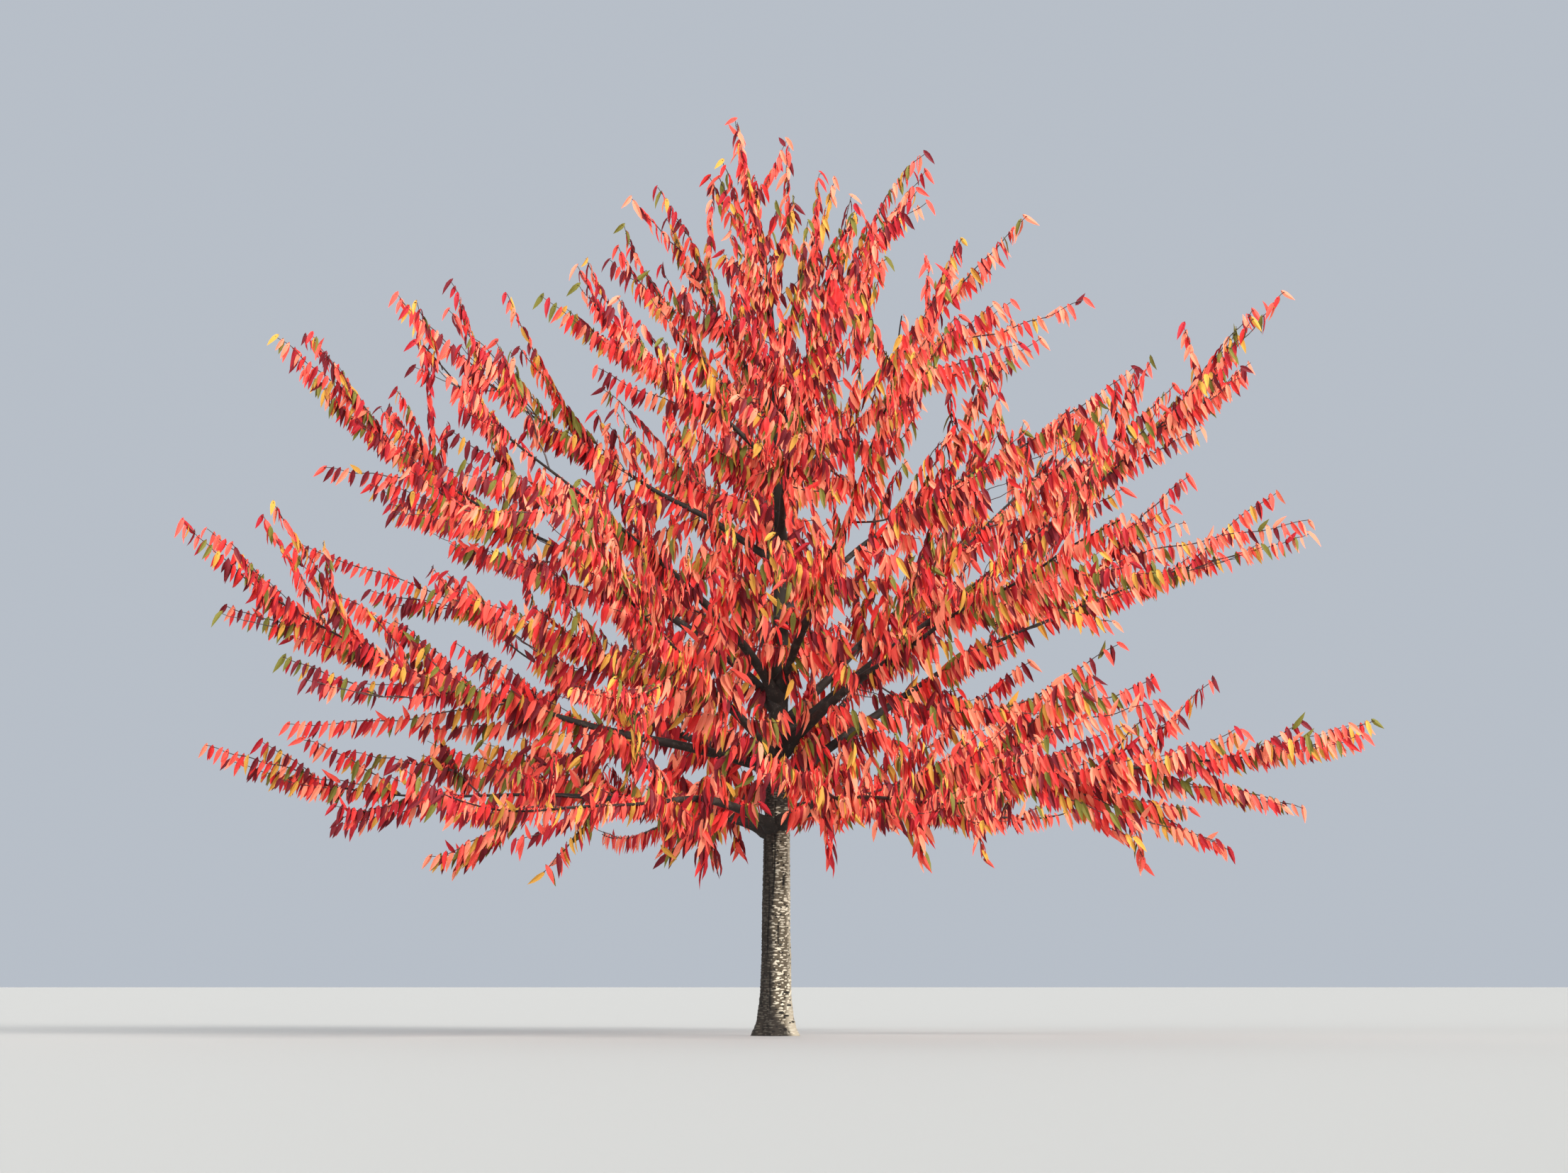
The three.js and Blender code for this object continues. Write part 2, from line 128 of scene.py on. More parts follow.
# Tiers of boughs from the lowest up, as in the solids: how far out and how high a bough's last leaf
# reaches and how steeply it starts and ends, for one that grows straight to the left or the right.
# Before that come how many boughs there are, how far round the first one is, how high its foot is, how
# much higher each next one is, a bough's radius at its foot, and how much lower it ends at front and back.
TIERS = [
    {"name": "skirt", "count": 6, "turn": 172, "foot": 1.215, "step": 0.026, "girth": 0.033, "droop": 0.38,
     "left": {"reach": 3.48, "height": 1.74, "start": 24, "end": 14},
     "right": {"reach": 3.66, "height": 1.85, "start": 18, "end": 10}},
    {"name": "lower", "count": 6, "turn": 10, "foot": 1.48, "step": 0.044, "girth": 0.035, "droop": 0,
     "left": {"reach": 3.6, "height": 3.04, "start": 14, "end": 38},
     "right": {"reach": 3.39, "height": 3.09, "start": 42, "end": 14}},
    {"name": "middle", "count": 6, "turn": -16, "foot": 1.79, "step": 0.062, "girth": 0.033, "droop": 0,
     "left": {"reach": 3.17, "height": 4.23, "start": 50, "end": 42},
     "right": {"reach": 3.13, "height": 4.38, "start": 38, "end": 46}},
    {"name": "upper", "count": 4, "turn": 6, "foot": 2.54, "step": 0.16, "girth": 0.024, "droop": 0,
     "left": {"reach": 2.33, "height": 4.48, "start": 34, "end": 44},
     "right": {"reach": 2.25, "height": 4.1, "start": 46, "end": 34}},
    {"name": "high", "count": 3, "turn": -20, "foot": 3.18, "step": 0.12, "girth": 0.02, "droop": 0,
     "left": {"reach": 1.56, "height": 4.7, "start": 44, "end": 56},
     "right": {"reach": 1.6, "height": 4.9, "start": 56, "end": 42}},
    {"name": "crest", "count": 3, "turn": 18, "foot": 3.62, "step": 0.11, "girth": 0.017, "droop": 0,
     "left": {"reach": 0.96, "height": 5.12, "start": 60, "end": 56},
     "right": {"reach": 0.98, "height": 5.33, "start": 70, "end": 50}},
]
# The length of the last leaf of the solids, where the stem ends. A bough's radius at its tip, how it
# thins to there, the share of it that is outside its mass, and how far it sways, in degrees.
SOLID_LEAF = 0.47
BOUGH = {"tip": 0.006, "thinning": 0.75, "share": 0.25, "sway": 7}
# A bough swells where it leaves the trunk, and is drawn more slender past its mass's foot.
COLLAR = {"swell": 0.8, "reach": 0.045, "least_level": 0.15}
STEM = {"bare": 0.03, "slender": 0.6, "over": 0.3}
# How a limb strays from its even line: how soon it does, and by how many waves.
STRAY = {"ease": 4, "waves": (1.5, 3.5)}
# How many degrees round its limb each side twig and short shoot is from the last one, and each bud of an
# upright one.
GOLDEN_TURN = 137.5
# Side twigs, by the rule of the solids. Those at the top rise more, and those of the skirt hang.
TWIG = {
    "room": 0.09, "spacing": 0.335, "angle": 50, "base": 0.13, "share": 0.5, "longest": 1.3,
    "shortest": 0.8, "variety": 0.35, "along": 0.75, "aside": 0.4, "lift": 0.14, "girth": 0.42,
    "tip": 0.0028, "bare": 0.15,
}
TOP_TWIG_LIFT = 0.7
SKIRT_TWIG_LIFT = -0.12

# Finer twigs stand where the solids have one large leaf each, and between those places.
FINER = {
    "stem_spacing": 0.19, "twig_spacing": 0.165, "length": 0.34, "variety": 0.24, "along": 0.8,
    "aside": 0.3, "aside_variety": 0.35, "lift": 0.02, "lift_variety": 0.5, "end_lift": 0.22,
    "root": 0.0035, "tip": 0.002, "bare": 0.08,
}
# Short shoots clothe the inner boughs and the leader, so that leaves hang all the way in to the trunk.
SHOOT = {
    "spacing": 0.1, "from": 0.06, "past": 0.15, "trunk_spacing": 0.062, "trunk_from": 1.42,
    "stray": 0.8, "length": 0.2, "variety": 0.26, "along": 0.45, "aside": 0.8,
    "lift": 0.12, "bare": 0.2,
}
# Sparse sprays that hang from the lowest boughs near the trunk.
HANGING = {
    "from": 0.14, "to": 0.5, "count": 3, "length": 0.2, "variety": 0.16, "out": 0.45, "aside": 0.7,
    "fall": 0.4,
}

# The eye that the picture is seen from: how far from the trunk, how high and how far right of it.
EYE = {"distance": 28.0, "height": 0.32, "side": 0.05}

# Long whips that end the crown's outline as it is seen from the front. Each has the place across and
# up where it leaves its limb, and that of its tip, as they are seen on the upright plane at the trunk.
WHIPS = np.array([
    (-2.95, 2.74, -3.48, 3.08), (-2.66, 2.48, -3.14, 3.16), (-1.95, 2.64, -2.90, 2.98),
    (-2.10, 2.52, -2.70, 2.68), (-1.80, 2.16, -2.32, 2.52), (-1.95, 2.30, -2.45, 2.56),
    (-2.90, 2.44, -3.36, 2.61), (-2.42, 2.08, -3.00, 2.30), (-2.20, 2.24, -2.95, 2.42),
    (-1.90, 2.08, -2.50, 2.14), (-2.35, 2.28, -2.72, 2.60), (-1.55, 2.12, -1.95, 2.38),
    (-1.05, 2.12, -1.42, 2.36), (-1.00, 2.44, -1.30, 2.65), (-1.15, 2.38, -1.95, 2.70),
    (-1.00, 2.22, -1.60, 2.54), (-1.70, 1.87, -2.97, 1.89), (-1.35, 1.84, -2.20, 1.87),
    (-2.30, 1.62, -2.88, 1.80), (-1.95, 1.62, -2.60, 1.72), (-2.85, 1.57, -3.47, 1.76),
    (-1.95, 1.39, -2.68, 1.27), (-1.50, 1.30, -2.05, 1.08), (-1.08, 1.29, -1.58, 1.18),
    (-1.05, 1.36, -1.42, 0.98), (-1.55, 3.07, -2.12, 3.15), (-1.50, 2.99, -2.34, 3.19),
    (-2.35, 3.70, -3.06, 4.27), (-2.05, 3.54, -2.33, 3.95), (-2.02, 3.50, -2.19, 4.34),
    (-1.72, 4.00, -2.30, 4.48), (-1.68, 3.44, -1.98, 3.68), (-2.10, 3.35, -2.76, 3.46),
    (-1.75, 4.08, -1.99, 4.61), (-1.25, 3.80, -1.86, 4.26), (-1.17, 3.58, -1.66, 4.53),
    (-0.85, 3.58, -1.53, 3.67), (-0.50, 3.68, -1.10, 4.08), (-0.48, 3.46, -1.06, 3.95),
    (-0.92, 4.20, -1.22, 4.70), (-0.60, 4.10, -0.84, 4.36), (-0.42, 4.62, -0.90, 5.13),
    (-0.30, 4.60, -0.73, 5.19), (-0.70, 4.30, -0.94, 4.96), (-0.16, 4.30, -0.33, 4.80),
    (-0.75, 4.32, -0.97, 4.82), (-0.20, 4.75, -0.41, 5.26), (-0.18, 5.00, -0.33, 5.36),
    (0.02, 5.00, 0.08, 5.44), (0.20, 4.80, 0.27, 5.28), (0.38, 4.70, 0.46, 5.14),
    (0.37, 4.94, 0.92, 5.41), (0.45, 4.82, 0.93, 5.10), (0.50, 4.20, 0.66, 4.74),
    (0.93, 4.26, 0.93, 4.76), (0.95, 4.05, 1.90, 4.50), (0.90, 3.98, 1.50, 4.23),
    (1.10, 3.92, 1.62, 4.26), (0.62, 3.26, 1.13, 3.74), (0.50, 3.10, 0.80, 3.50),
    (0.80, 3.30, 1.08, 3.66), (0.62, 3.46, 0.88, 3.88), (0.98, 3.62, 1.09, 4.08),
    (2.12, 3.66, 2.20, 4.07), (2.15, 3.66, 2.44, 3.97), (2.64, 3.92, 2.50, 4.34),
    (2.42, 3.86, 2.93, 4.43), (2.30, 3.62, 2.84, 4.01), (2.05, 3.42, 2.60, 3.70),
    (2.08, 3.04, 2.52, 3.41), (2.50, 2.99, 3.07, 3.31), (1.95, 2.92, 3.26, 3.13),
    (1.55, 2.60, 2.06, 2.51), (1.20, 2.08, 1.55, 2.27), (1.55, 2.06, 2.09, 2.38),
    (1.85, 1.86, 2.30, 2.18), (1.45, 1.80, 2.35, 2.03), (1.50, 1.68, 2.12, 1.88),
    (2.15, 1.72, 2.67, 2.17), (1.95, 1.68, 2.46, 1.93), (0.92, 1.68, 1.32, 1.88),
    (2.40, 1.64, 2.80, 1.86), (2.90, 1.74, 3.20, 1.90), (3.30, 1.79, 3.64, 1.91),
    (2.25, 1.57, 2.85, 1.44), (2.70, 1.51, 3.20, 1.38), (1.45, 1.52, 2.18, 1.29),
    (1.70, 1.41, 2.68, 1.18), (2.14, 1.30, 2.24, 1.04), (1.20, 1.32, 1.27, 1.06),
    (0.85, 1.32, 0.89, 1.08), (0.28, 1.32, 0.33, 1.08), (-0.22, 1.34, -0.23, 1.12),
    (-0.46, 1.34, -0.43, 1.02), (-0.60, 1.34, -0.68, 1.14), (-0.22, 4.28, -0.42, 4.72),
    (-0.48, 4.08, -0.76, 4.50), (0.12, 4.50, 0.20, 4.98), (0.34, 4.46, 0.50, 5.06),
    (0.92, 3.90, 1.42, 4.12), (-1.94, 2.60, -2.34, 2.61), (-1.90, 2.58, -2.48, 2.70),
    (-1.32, 2.12, -1.80, 2.32), (-1.42, 2.08, -1.72, 2.18), (-0.92, 2.14, -1.28, 2.24),
    (-2.30, 1.54, -2.84, 1.56), (-0.98, 1.80, -1.38, 1.82), (-0.92, 3.48, -1.34, 3.84),
    (-1.02, 3.60, -1.58, 4.20), (-0.78, 3.38, -1.02, 3.72), (-2.60, 4.00, -2.89, 4.28),
    (2.12, 3.02, 2.42, 3.22), (1.85, 3.12, 2.12, 3.33), (1.98, 1.84, 2.36, 1.99),
    (1.92, 1.57, 2.66, 1.49), (1.72, 1.34, 2.18, 1.19), (2.15, 1.36, 2.75, 1.13),
    (0.48, 1.86, 0.80, 1.94), (0.95, 1.76, 1.22, 1.84), (1.98, 2.96, 2.50, 3.12),
    (0.20, 3.22, 0.42, 3.34), (-0.22, 3.36, -0.40, 3.52),
])
WHIP = {"root": 0.0052, "tip": 0.0022, "depth": 0.25, "depth_cost": 0.12, "bend": 0.3, "bare": 0.06}

# Gaps that show sky from the front: the middle across and up, half the length, half the height and
# the tilt in degrees. Nothing but the boughs and the whips above grows into them.
GAPS = np.array([
    (-3.48, 2.28, 0.42, 0.20, 10), (-3.38, 2.73, 0.22, 0.06, -32), (-3.58, 2.55, 0.18, 0.12, 0),
    (-2.75, 1.99, 0.65, 0.05, -4), (-3.18, 2.08, 0.30, 0.11, 0), (-3.22, 1.88, 0.36, 0.09, -22),
    (-2.90, 1.28, 0.22, 0.12, 10), (-2.52, 1.40, 0.28, 0.035, 4), (-1.72, 1.42, 0.24, 0.045, 0),
    (-1.27, 1.36, 0.18, 0.04, 0), (-2.24, 1.22, 0.22, 0.05, 8), (-2.25, 1.00, 0.14, 0.07, 0),
    (-0.95, 1.13, 0.28, 0.19, 25), (-1.25, 0.90, 0.40, 0.07, 0), (-0.20, 1.08, 0.16, 0.16, 0),
    (-2.47, 4.12, 0.28, 0.15, -35), (-2.45, 4.58, 0.15, 0.12, -40), (-2.31, 4.22, 0.14, 0.08, 90),
    (-2.01, 3.85, 0.24, 0.05, 108), (-1.58, 3.66, 0.14, 0.07, 100), (-1.76, 4.38, 0.24, 0.06, -58),
    (-1.36, 3.72, 0.20, 0.035, -14), (-1.38, 3.44, 0.17, 0.08, -35), (-0.82, 3.70, 0.15, 0.045, -42),
    (-0.90, 3.36, 0.14, 0.07, -20), (-1.37, 3.00, 0.10, 0.06, 0), (-2.68, 3.21, 0.32, 0.08, -8),
    (-2.15, 2.94, 0.32, 0.08, -28), (-1.72, 2.37, 0.31, 0.052, -22), (-1.17, 1.93, 0.17, 0.042, -14),
    (-2.33, 1.73, 0.24, 0.035, -5), (-1.20, 4.88, 0.14, 0.10, -60), (-0.65, 4.68, 0.19, 0.055, -52),
    (-0.50, 5.35, 0.20, 0.13, 80), (-1.22, 4.05, 0.20, 0.08, -55), (-0.09, 5.40, 0.15, 0.05, 104),
    (0.15, 5.17, 0.13, 0.035, 95), (0.17, 5.38, 0.16, 0.05, 80), (0.28, 5.52, 0.16, 0.10, 90),
    (0.34, 5.35, 0.20, 0.05, 85), (0.85, 4.84, 0.20, 0.06, 30), (1.20, 4.98, 0.14, 0.10, 60),
    (0.76, 4.46, 0.26, 0.075, 84), (1.60, 4.58, 0.28, 0.08, 18), (1.46, 3.88, 0.20, 0.08, 90),
    (1.86, 4.00, 0.32, 0.17, 38), (2.28, 4.28, 0.22, 0.12, 70), (0.95, 3.76, 0.16, 0.06, 75),
    (0.55, 3.92, 0.12, 0.04, 80), (1.37, 3.22, 0.09, 0.08, 0), (0.56, 3.07, 0.15, 0.075, 32),
    (2.93, 4.20, 0.14, 0.045, 42), (2.22, 3.27, 0.28, 0.09, 32), (2.78, 3.52, 0.36, 0.13, 20),
    (2.80, 2.75, 0.55, 0.10, 15), (2.30, 2.50, 0.25, 0.05, 8), (1.70, 2.43, 0.30, 0.07, 0),
    (1.66, 2.19, 0.20, 0.05, 32), (2.48, 2.40, 0.42, 0.13, 8), (3.05, 2.14, 0.42, 0.15, 25),
    (2.94, 1.86, 0.12, 0.05, 0), (0.64, 2.08, 0.38, 0.055, 14), (1.15, 2.42, 0.22, 0.035, 0),
    (0.50, 1.14, 0.12, 0.12, 0), (0.70, 1.10, 0.11, 0.13, 0), (1.07, 1.03, 0.12, 0.17, 0),
    (1.62, 1.02, 0.20, 0.08, -10), (1.74, 1.20, 0.19, 0.08, -10), (2.22, 1.46, 0.20, 0.045, -12),
    (2.60, 1.36, 0.28, 0.045, -18), (0.09, 1.14, 0.07, 0.12, 0), (2.10, 2.19, 0.14, 0.06, 25),
    (2.52, 1.80, 0.14, 0.05, 35), (1.74, 3.49, 0.20, 0.03, 5), (1.32, 2.76, 0.17, 0.028, 0),
    (1.39, 1.16, 0.10, 0.07, 60), (1.72, 2.12, 0.17, 0.045, 36), (-1.98, 4.12, 0.16, 0.05, 120),
    (-1.72, 3.86, 0.13, 0.055, 120),
])

# Buds stand closer at a twig's foot than at its tip, near which some have only one leaf.
BUDS = {"closer": 0.9, "stray": 0.35, "single_from": 0.55, "single": 0.3}
# How far a bud hangs, its width as a share of its length, how far it leans aside, the seed of its random
# numbers, and the place along it where it is widest.
BUD = {"hang": 0.1, "slim": 0.4, "sideways": 1.0, "seed": 7, "widest": 0.35}
# How leaves hang: in full, above their twig, and between two values at a twig's tip.
HANG = {"down": 1.0, "risen": -0.45, "tip": (0.3, 0.8)}
LEAF_SIZES = (0.86, 1.14)
# A twig counts as level where the level part of its direction, times this, is 1 or more.
LEVEL_GAIN = 1.3
# How far under its twig a leaf's middle and its lower part hang, where it is held out of the gaps.
LEAF_DROP = 0.045
LOW_LEAF_DROP = 0.072
# Of the leaves on the main limbs that cross a gap, the share that is kept, from this height up.
CROSSING = {"kept": 0.8, "from": 1.25}
# Leaves grow smaller from the first of these distances from the fork to the second, and to a twig's tip.
FORK = np.array([0, 0, 1.5])
OUTER = {"from": 0.6, "to": 3.0, "size": 0.74, "at_tip": 0.94}

TRIED_SIZES = (1, 0.85, 0.7, 0.55)
TWIG_TESTS = np.array([0.4, 0.6, 0.8, 1])
FINER_TESTS = np.array([0.6, 1])
ROOM_BETWEEN_MASSES = 0.006
ROOM_AT_LIMBS = 0.01
ROOM_AT_TRUNK = 0.03
LINE_SAMPLES = 14
LENGTH_SAMPLES = 200
TRUNK_SAMPLES = 2000
TANGENT_STEP = 1e-4
SEED = 11

# Tints of the leaves, with their shares on the left and on the right of the crown, from this far out.
# The pale tints take more of the right and the deep ones more of the left: painted light from the right
# and painted shade on the left.
TINT_SIDE = 2.6
TINTS = {
    "coral": {"left": 0.19, "right": 0.26, "family": "warm"},
    "salmon": {"left": 0.11, "right": 0.34, "family": "warm"},
    "scarlet": {"left": 0.13, "right": 0.08, "family": "warm"},
    "red": {"left": 0.2, "right": 0.08, "family": "deep"},
    "crimson": {"left": 0.22, "right": 0.11, "family": "deep"},
    "gold": {"left": 0.09, "right": 0.08, "family": "golden"},
    "olive": {"left": 0.08, "right": 0.07, "family": "golden"},
}
# How often a twig leans to each family of tints, and how much more of it that twig then carries.
LEANINGS = (("warm", 0.36, 1.7), ("deep", 0.68, 1.8), ("golden", 0.78, 3.0), ("none", 1.0, 1.0))


def mix(low, high, share):
    return low + (high - low) * share


def unit(direction):
    return direction / np.linalg.norm(direction)


def blend(*parts):
    """A sum of directions, each times its share, as one unit direction."""
    return unit(sum(direction * share for direction, share in parts))


def on_outline(outline, place):
    """The value at a place on an outline of (place, value) corners."""
    return np.interp(place, outline[:, 0], outline[:, 1])


def noise_at(points, waves=(1, 1, 1)):
    """Smooth noise at each point, with a number of waves to a metre along each axis."""
    return np.array([noise.noise(Vector(point)) for point in points * waves])


def turned(angles, middle):
    """How far angles are turned from a middle one, from minus to plus half a turn."""
    return (angles - middle + math.pi) % (2 * math.pi) - math.pi


def seen_at(points):
    """Where points are seen across and up, on the upright plane at the trunk."""
    nearness = EYE["distance"] / (EYE["distance"] + points[..., 1])
    across = EYE["side"] + (points[..., 0] - EYE["side"]) * nearness
    return np.stack([across, EYE["height"] + (points[..., 2] - EYE["height"]) * nearness], axis=-1)


def placed_at(across, up, depth):
    """The point at a depth behind the trunk that is seen at a place across and up."""
    nearness = EYE["distance"] / (EYE["distance"] + depth)
    side = EYE["side"] + (across - EYE["side"]) / nearness
    return np.array([side, depth, EYE["height"] + (up - EYE["height"]) / nearness])


def in_gap(points):
    """True for each point that is seen in one of the gaps."""
    middle_across, middle_up, half_length, half_height, tilt = GAPS.T
    seen = seen_at(points)
    across, up = seen[:, :1] - middle_across, seen[:, 1:] - middle_up
    turn = np.radians(tilt)
    along = (across * np.cos(turn) + up * np.sin(turn)) / half_length
    over = (up * np.cos(turn) - across * np.sin(turn)) / half_height
    return (along**2 + over**2 < 1).any(axis=1)


def chance(*keys):
    """A repeatable number from 0 to 1 for one choice, named by whole numbers."""
    mixed = SEED
    for key in keys:
        mixed = ((mixed ^ (key + 1)) * 0x85EBCA6B) & 0xFFFFFFFF
        mixed ^= mixed >> 13
        mixed = (mixed * 0xC2B2AE35) & 0xFFFFFFFF
        mixed ^= mixed >> 16
    return mixed / 2**32


def trunk_line(parameters):
    """Points of the trunk's line, a Catmull-Rom curve whose spans take equal parts of the parameter."""
    spans = len(TRUNK_LINE) - 1
    before = 2 * TRUNK_LINE[:1] - TRUNK_LINE[1:2]
    after = 2 * TRUNK_LINE[-1:] - TRUNK_LINE[-2:-1]
    points = np.vstack([before, TRUNK_LINE, after])
    place = np.asarray(parameters, float) * spans
    span = np.clip(np.floor(place).astype(int), 0, spans - 1)
    w = (place - span)[:, None]
    p0, p1, p2, p3 = (points[span + n] for n in range(4))
    leaving, arriving = (p2 - p0) / 2, (p3 - p1) / 2
    return (
        (2 * w**3 - 3 * w**2 + 1) * p1 + (w**3 - 2 * w**2 + w) * leaving
        + (3 * w**2 - 2 * w**3) * p2 + (w**3 - w**2) * arriving
    )


def bezier_line(*corners):
    """The points function of a Bezier curve through its first and last corners."""
    degree = len(corners) - 1

    def line(parameters):
        t = np.asarray(parameters, float)[:, None]
        return sum(
            math.comb(degree, k) * (1 - t) ** (degree - k) * t**k * corner
            for k, corner in enumerate(corners)
        )

    return line


class Limb:
    """A limb's centre line, its girth along it, and the numbers that name its own random choices."""

    def __init__(self, line, girth, keys, share=0.0, lift=0.0):
        self.line = line
        self.girth = girth
        self.keys = keys
        self.share = share
        self.lift = lift
        self.drawn_from = share if line is trunk_line else 0.0
        self.samples = line(np.linspace(0, 1, LINE_SAMPLES + 1))
        steps = np.diff(line(np.linspace(0, 1, LENGTH_SAMPLES + 1)), axis=0)
        self.length = float(np.linalg.norm(steps, axis=1).sum())

    def at(self, t):
        return self.line([t])[0]

    def axes(self, t):
        """The directions along, across and over the line at a parameter. across stays level."""
        behind, ahead = self.line([max(t - TANGENT_STEP, 0), min(t + TANGENT_STEP, 1)])
        along = unit(ahead - behind)
        across = unit(np.cross(self.at(1) - self.at(0), UP))
        across = unit(across - along * (along @ across))
        return along, across, np.cross(across, along)


def trunk_parameter(height):
    """The parameter of the trunk's line at a height, found by halving."""
    low, high = 0.0, 1.0
    while high - low > 1e-9:
        middle = (low + high) / 2
        if trunk_line([middle])[0, 2] < height:
            low = middle
        else:
            high = middle
    return low


def raised(azimuth, degrees):
    """A level direction raised by an angle in degrees."""
    rise = math.radians(degrees)
    level = math.cos(rise)
    return np.array([level * math.cos(azimuth), level * math.sin(azimuth), math.sin(rise)])


def bough_limb(tier, level, n):
    """One bough with the stem in its mass, from the trunk's axis to the end of the stem."""
    azimuth = math.radians(tier["turn"] + 360 * n / tier["count"])
    sway = math.radians(BOUGH["sway"]) * (2 * chance(level, n, 1) - 1)
    value = {
        key: mix(tier["left"][key], tier["right"][key], (1 + math.cos(azimuth)) / 2) for key in tier["left"]
    }
    start = raised(azimuth + sway, value["start"])
    end = raised(azimuth - sway, value["end"])
    foot = trunk_line([trunk_parameter(tier["foot"] + tier["step"] * n)])[0]
    tip = raised(azimuth, 0) * value["reach"]
    tip[2] = value["height"] - tier["droop"] * abs(math.sin(azimuth))
    tip = tip - end * SOLID_LEAF
    third = np.linalg.norm(tip - foot) / 3

    def girth(t):
        return mix(tier["girth"], BOUGH["tip"], np.asarray(t, float) ** BOUGH["thinning"])

    line = bezier_line(foot, foot + start * third, tip - end * third, tip)
    lift = SKIRT_TWIG_LIFT if level == 0 else TWIG["lift"]
    return Limb(line, girth, (level, n), BOUGH["share"], lift)


def leader_limb():
    """The leader, whose tip is the crown's top."""
    share = trunk_parameter(LEADER_END)
    root = on_outline(TRUNK_OUTLINE, LEADER_END)

    def girth(t):
        return mix(root, BOUGH["tip"], (np.asarray(t, float) - share) / (1 - share))

    return Limb(trunk_line, girth, (len(TIERS), 0), share, TOP_TWIG_LIFT)


TRUNK_PARAMETERS = np.linspace(0, 1, TRUNK_SAMPLES + 1)
TRUNK_HEIGHTS = trunk_line(TRUNK_PARAMETERS)[:, 2]


def main_limbs():
    """Every limb that carries a mass of foliage, the leader last."""
    boughs = [bough_limb(tier, level, n) for level, tier in enumerate(TIERS) for n in range(tier["count"])]
    return boughs + [leader_limb()]


class Room:
    """The room of each main limb: inside the crown, off every limb, and nearer to it than to the others."""

    def __init__(self, limbs):
        samples = np.array([limb.samples for limb in limbs])
        self.limbs = limbs
        self.starts = samples[:, :-1]
        self.steps = samples[:, 1:] - samples[:, :-1]

    def nearest(self, points):
        """How far each point is from each limb, and at which parameter it is nearest."""
        gap = points[:, None, None] - self.starts
        part = np.clip((gap * self.steps).sum(-1) / (self.steps**2).sum(-1), 0, 1)
        distance = np.linalg.norm(gap - part[..., None] * self.steps, axis=-1)
        best = distance.argmin(-1)[..., None]
        share = (best + np.take_along_axis(part, best, -1)) / self.steps.shape[1]
        return np.take_along_axis(distance, best, -1)[..., 0], share[..., 0]

    def in_crown(self, points):
        """True for each point inside the crown's outline."""
        out = np.hypot(points[:, 0], points[:, 1])
        under = points[:, 2] < on_outline(CROWN_TOP, out)
        return (out < CROWN_REACH) & under & (points[:, 2] > on_outline(CROWN_FOOT, out))

    def off_trunk(self, points):
        """True for each point that is clear of the trunk and the leader."""
        level = trunk_line(np.interp(points[:, 2], TRUNK_HEIGHTS, TRUNK_PARAMETERS))
        aside = np.hypot(points[:, 0] - level[:, 0], points[:, 1] - level[:, 1])
        room = on_outline(TRUNK_OUTLINE, points[:, 2]) + ROOM_AT_TRUNK
        return (aside > room) | (points[:, 2] > LEADER_END)

    def takes(self, line):
        """True if a finer twig on this line stays in the crown, off the trunk and out of the gaps."""
        points = line(FINER_TESTS)
        leaves = points - UP * LEAF_DROP
        return bool((self.in_crown(leaves) & self.off_trunk(points) & ~in_gap(leaves)).all())

    def holds(self, points, own):
        """True for each point that lies in the room of the limb with that place in the list."""
        distance, share = self.nearest(points)
        girth = np.stack([limb.girth(share[:, k]) for k, limb in enumerate(self.limbs)], axis=1)
        needed = np.maximum(girth + ROOM_AT_LIMBS, distance[:, [own]] + ROOM_BETWEEN_MASSES)
        clear = distance > needed
        clear[:, own] = True
        limb = self.limbs[own]
        on_bough = (share[:, own] < limb.share) & (distance[:, own] < girth[:, own] + ROOM_AT_LIMBS)
        good = self.in_crown(points) & clear.all(axis=1) & ~on_bough
        if limb.line is not trunk_line:
            trunk_room = on_outline(TRUNK_OUTLINE, points[:, 2]) + ROOM_AT_LIMBS
            good &= distance[:, -1] >= trunk_room
        return good


def taper(root, tip):
    """The girth of a limb that thins evenly from its root to its tip."""
    return lambda t: mix(root, tip, np.asarray(t, float))


def fitted_twig(foot, leaving, ending, half, girth, keys, fits, sizes=TRIED_SIZES):
    """A list of the twig that leaves its foot one way and ends another, at the largest size that fits."""
    for size in sizes:
        bend = foot + leaving * half * size
        line = bezier_line(foot, bend, bend + ending * half * size)
        if fits(line):
            return [Limb(line, girth, keys)]
    return []


def side_twigs(limb, own, room):
    """The side twigs of a main limb, each at the largest of the sizes that keeps to the limb's room."""

    def fits(line):
        tests = line(TWIG_TESTS)
        return room.holds(tests, own).all() and not in_gap(tests - UP * LEAF_DROP).any()

    twigs = []
    step = TWIG["spacing"] / limb.length
    first = limb.share + TWIG["room"] / limb.length
    angle = math.radians(TWIG["angle"])
    k = 0
    while first + k * step < 1 - step / 2:
        t = first + k * step
        along, across, over = limb.axes(t)
        roll = math.radians(GOLDEN_TURN * k + 360 * chance(*limb.keys, 2))
        aside = blend((across, math.cos(roll)), (over, math.sin(roll)))
        start = blend((along, math.cos(angle)), (aside, math.sin(angle)))
        end = blend((along, TWIG["along"]), (aside, TWIG["aside"]), (UP, limb.lift))
        reach = min(TWIG["base"] + TWIG["share"] * limb.length * (1 - t), TWIG["longest"])
        half = reach * (TWIG["shortest"] + TWIG["variety"] * chance(*limb.keys, 3, k)) / 2
        girth = taper(max(TWIG["tip"], TWIG["girth"] * float(limb.girth(t))), TWIG["tip"])
        twigs += fitted_twig(limb.at(t), start, end, half, girth, (*limb.keys, k), fits)
        k += 1
    return twigs


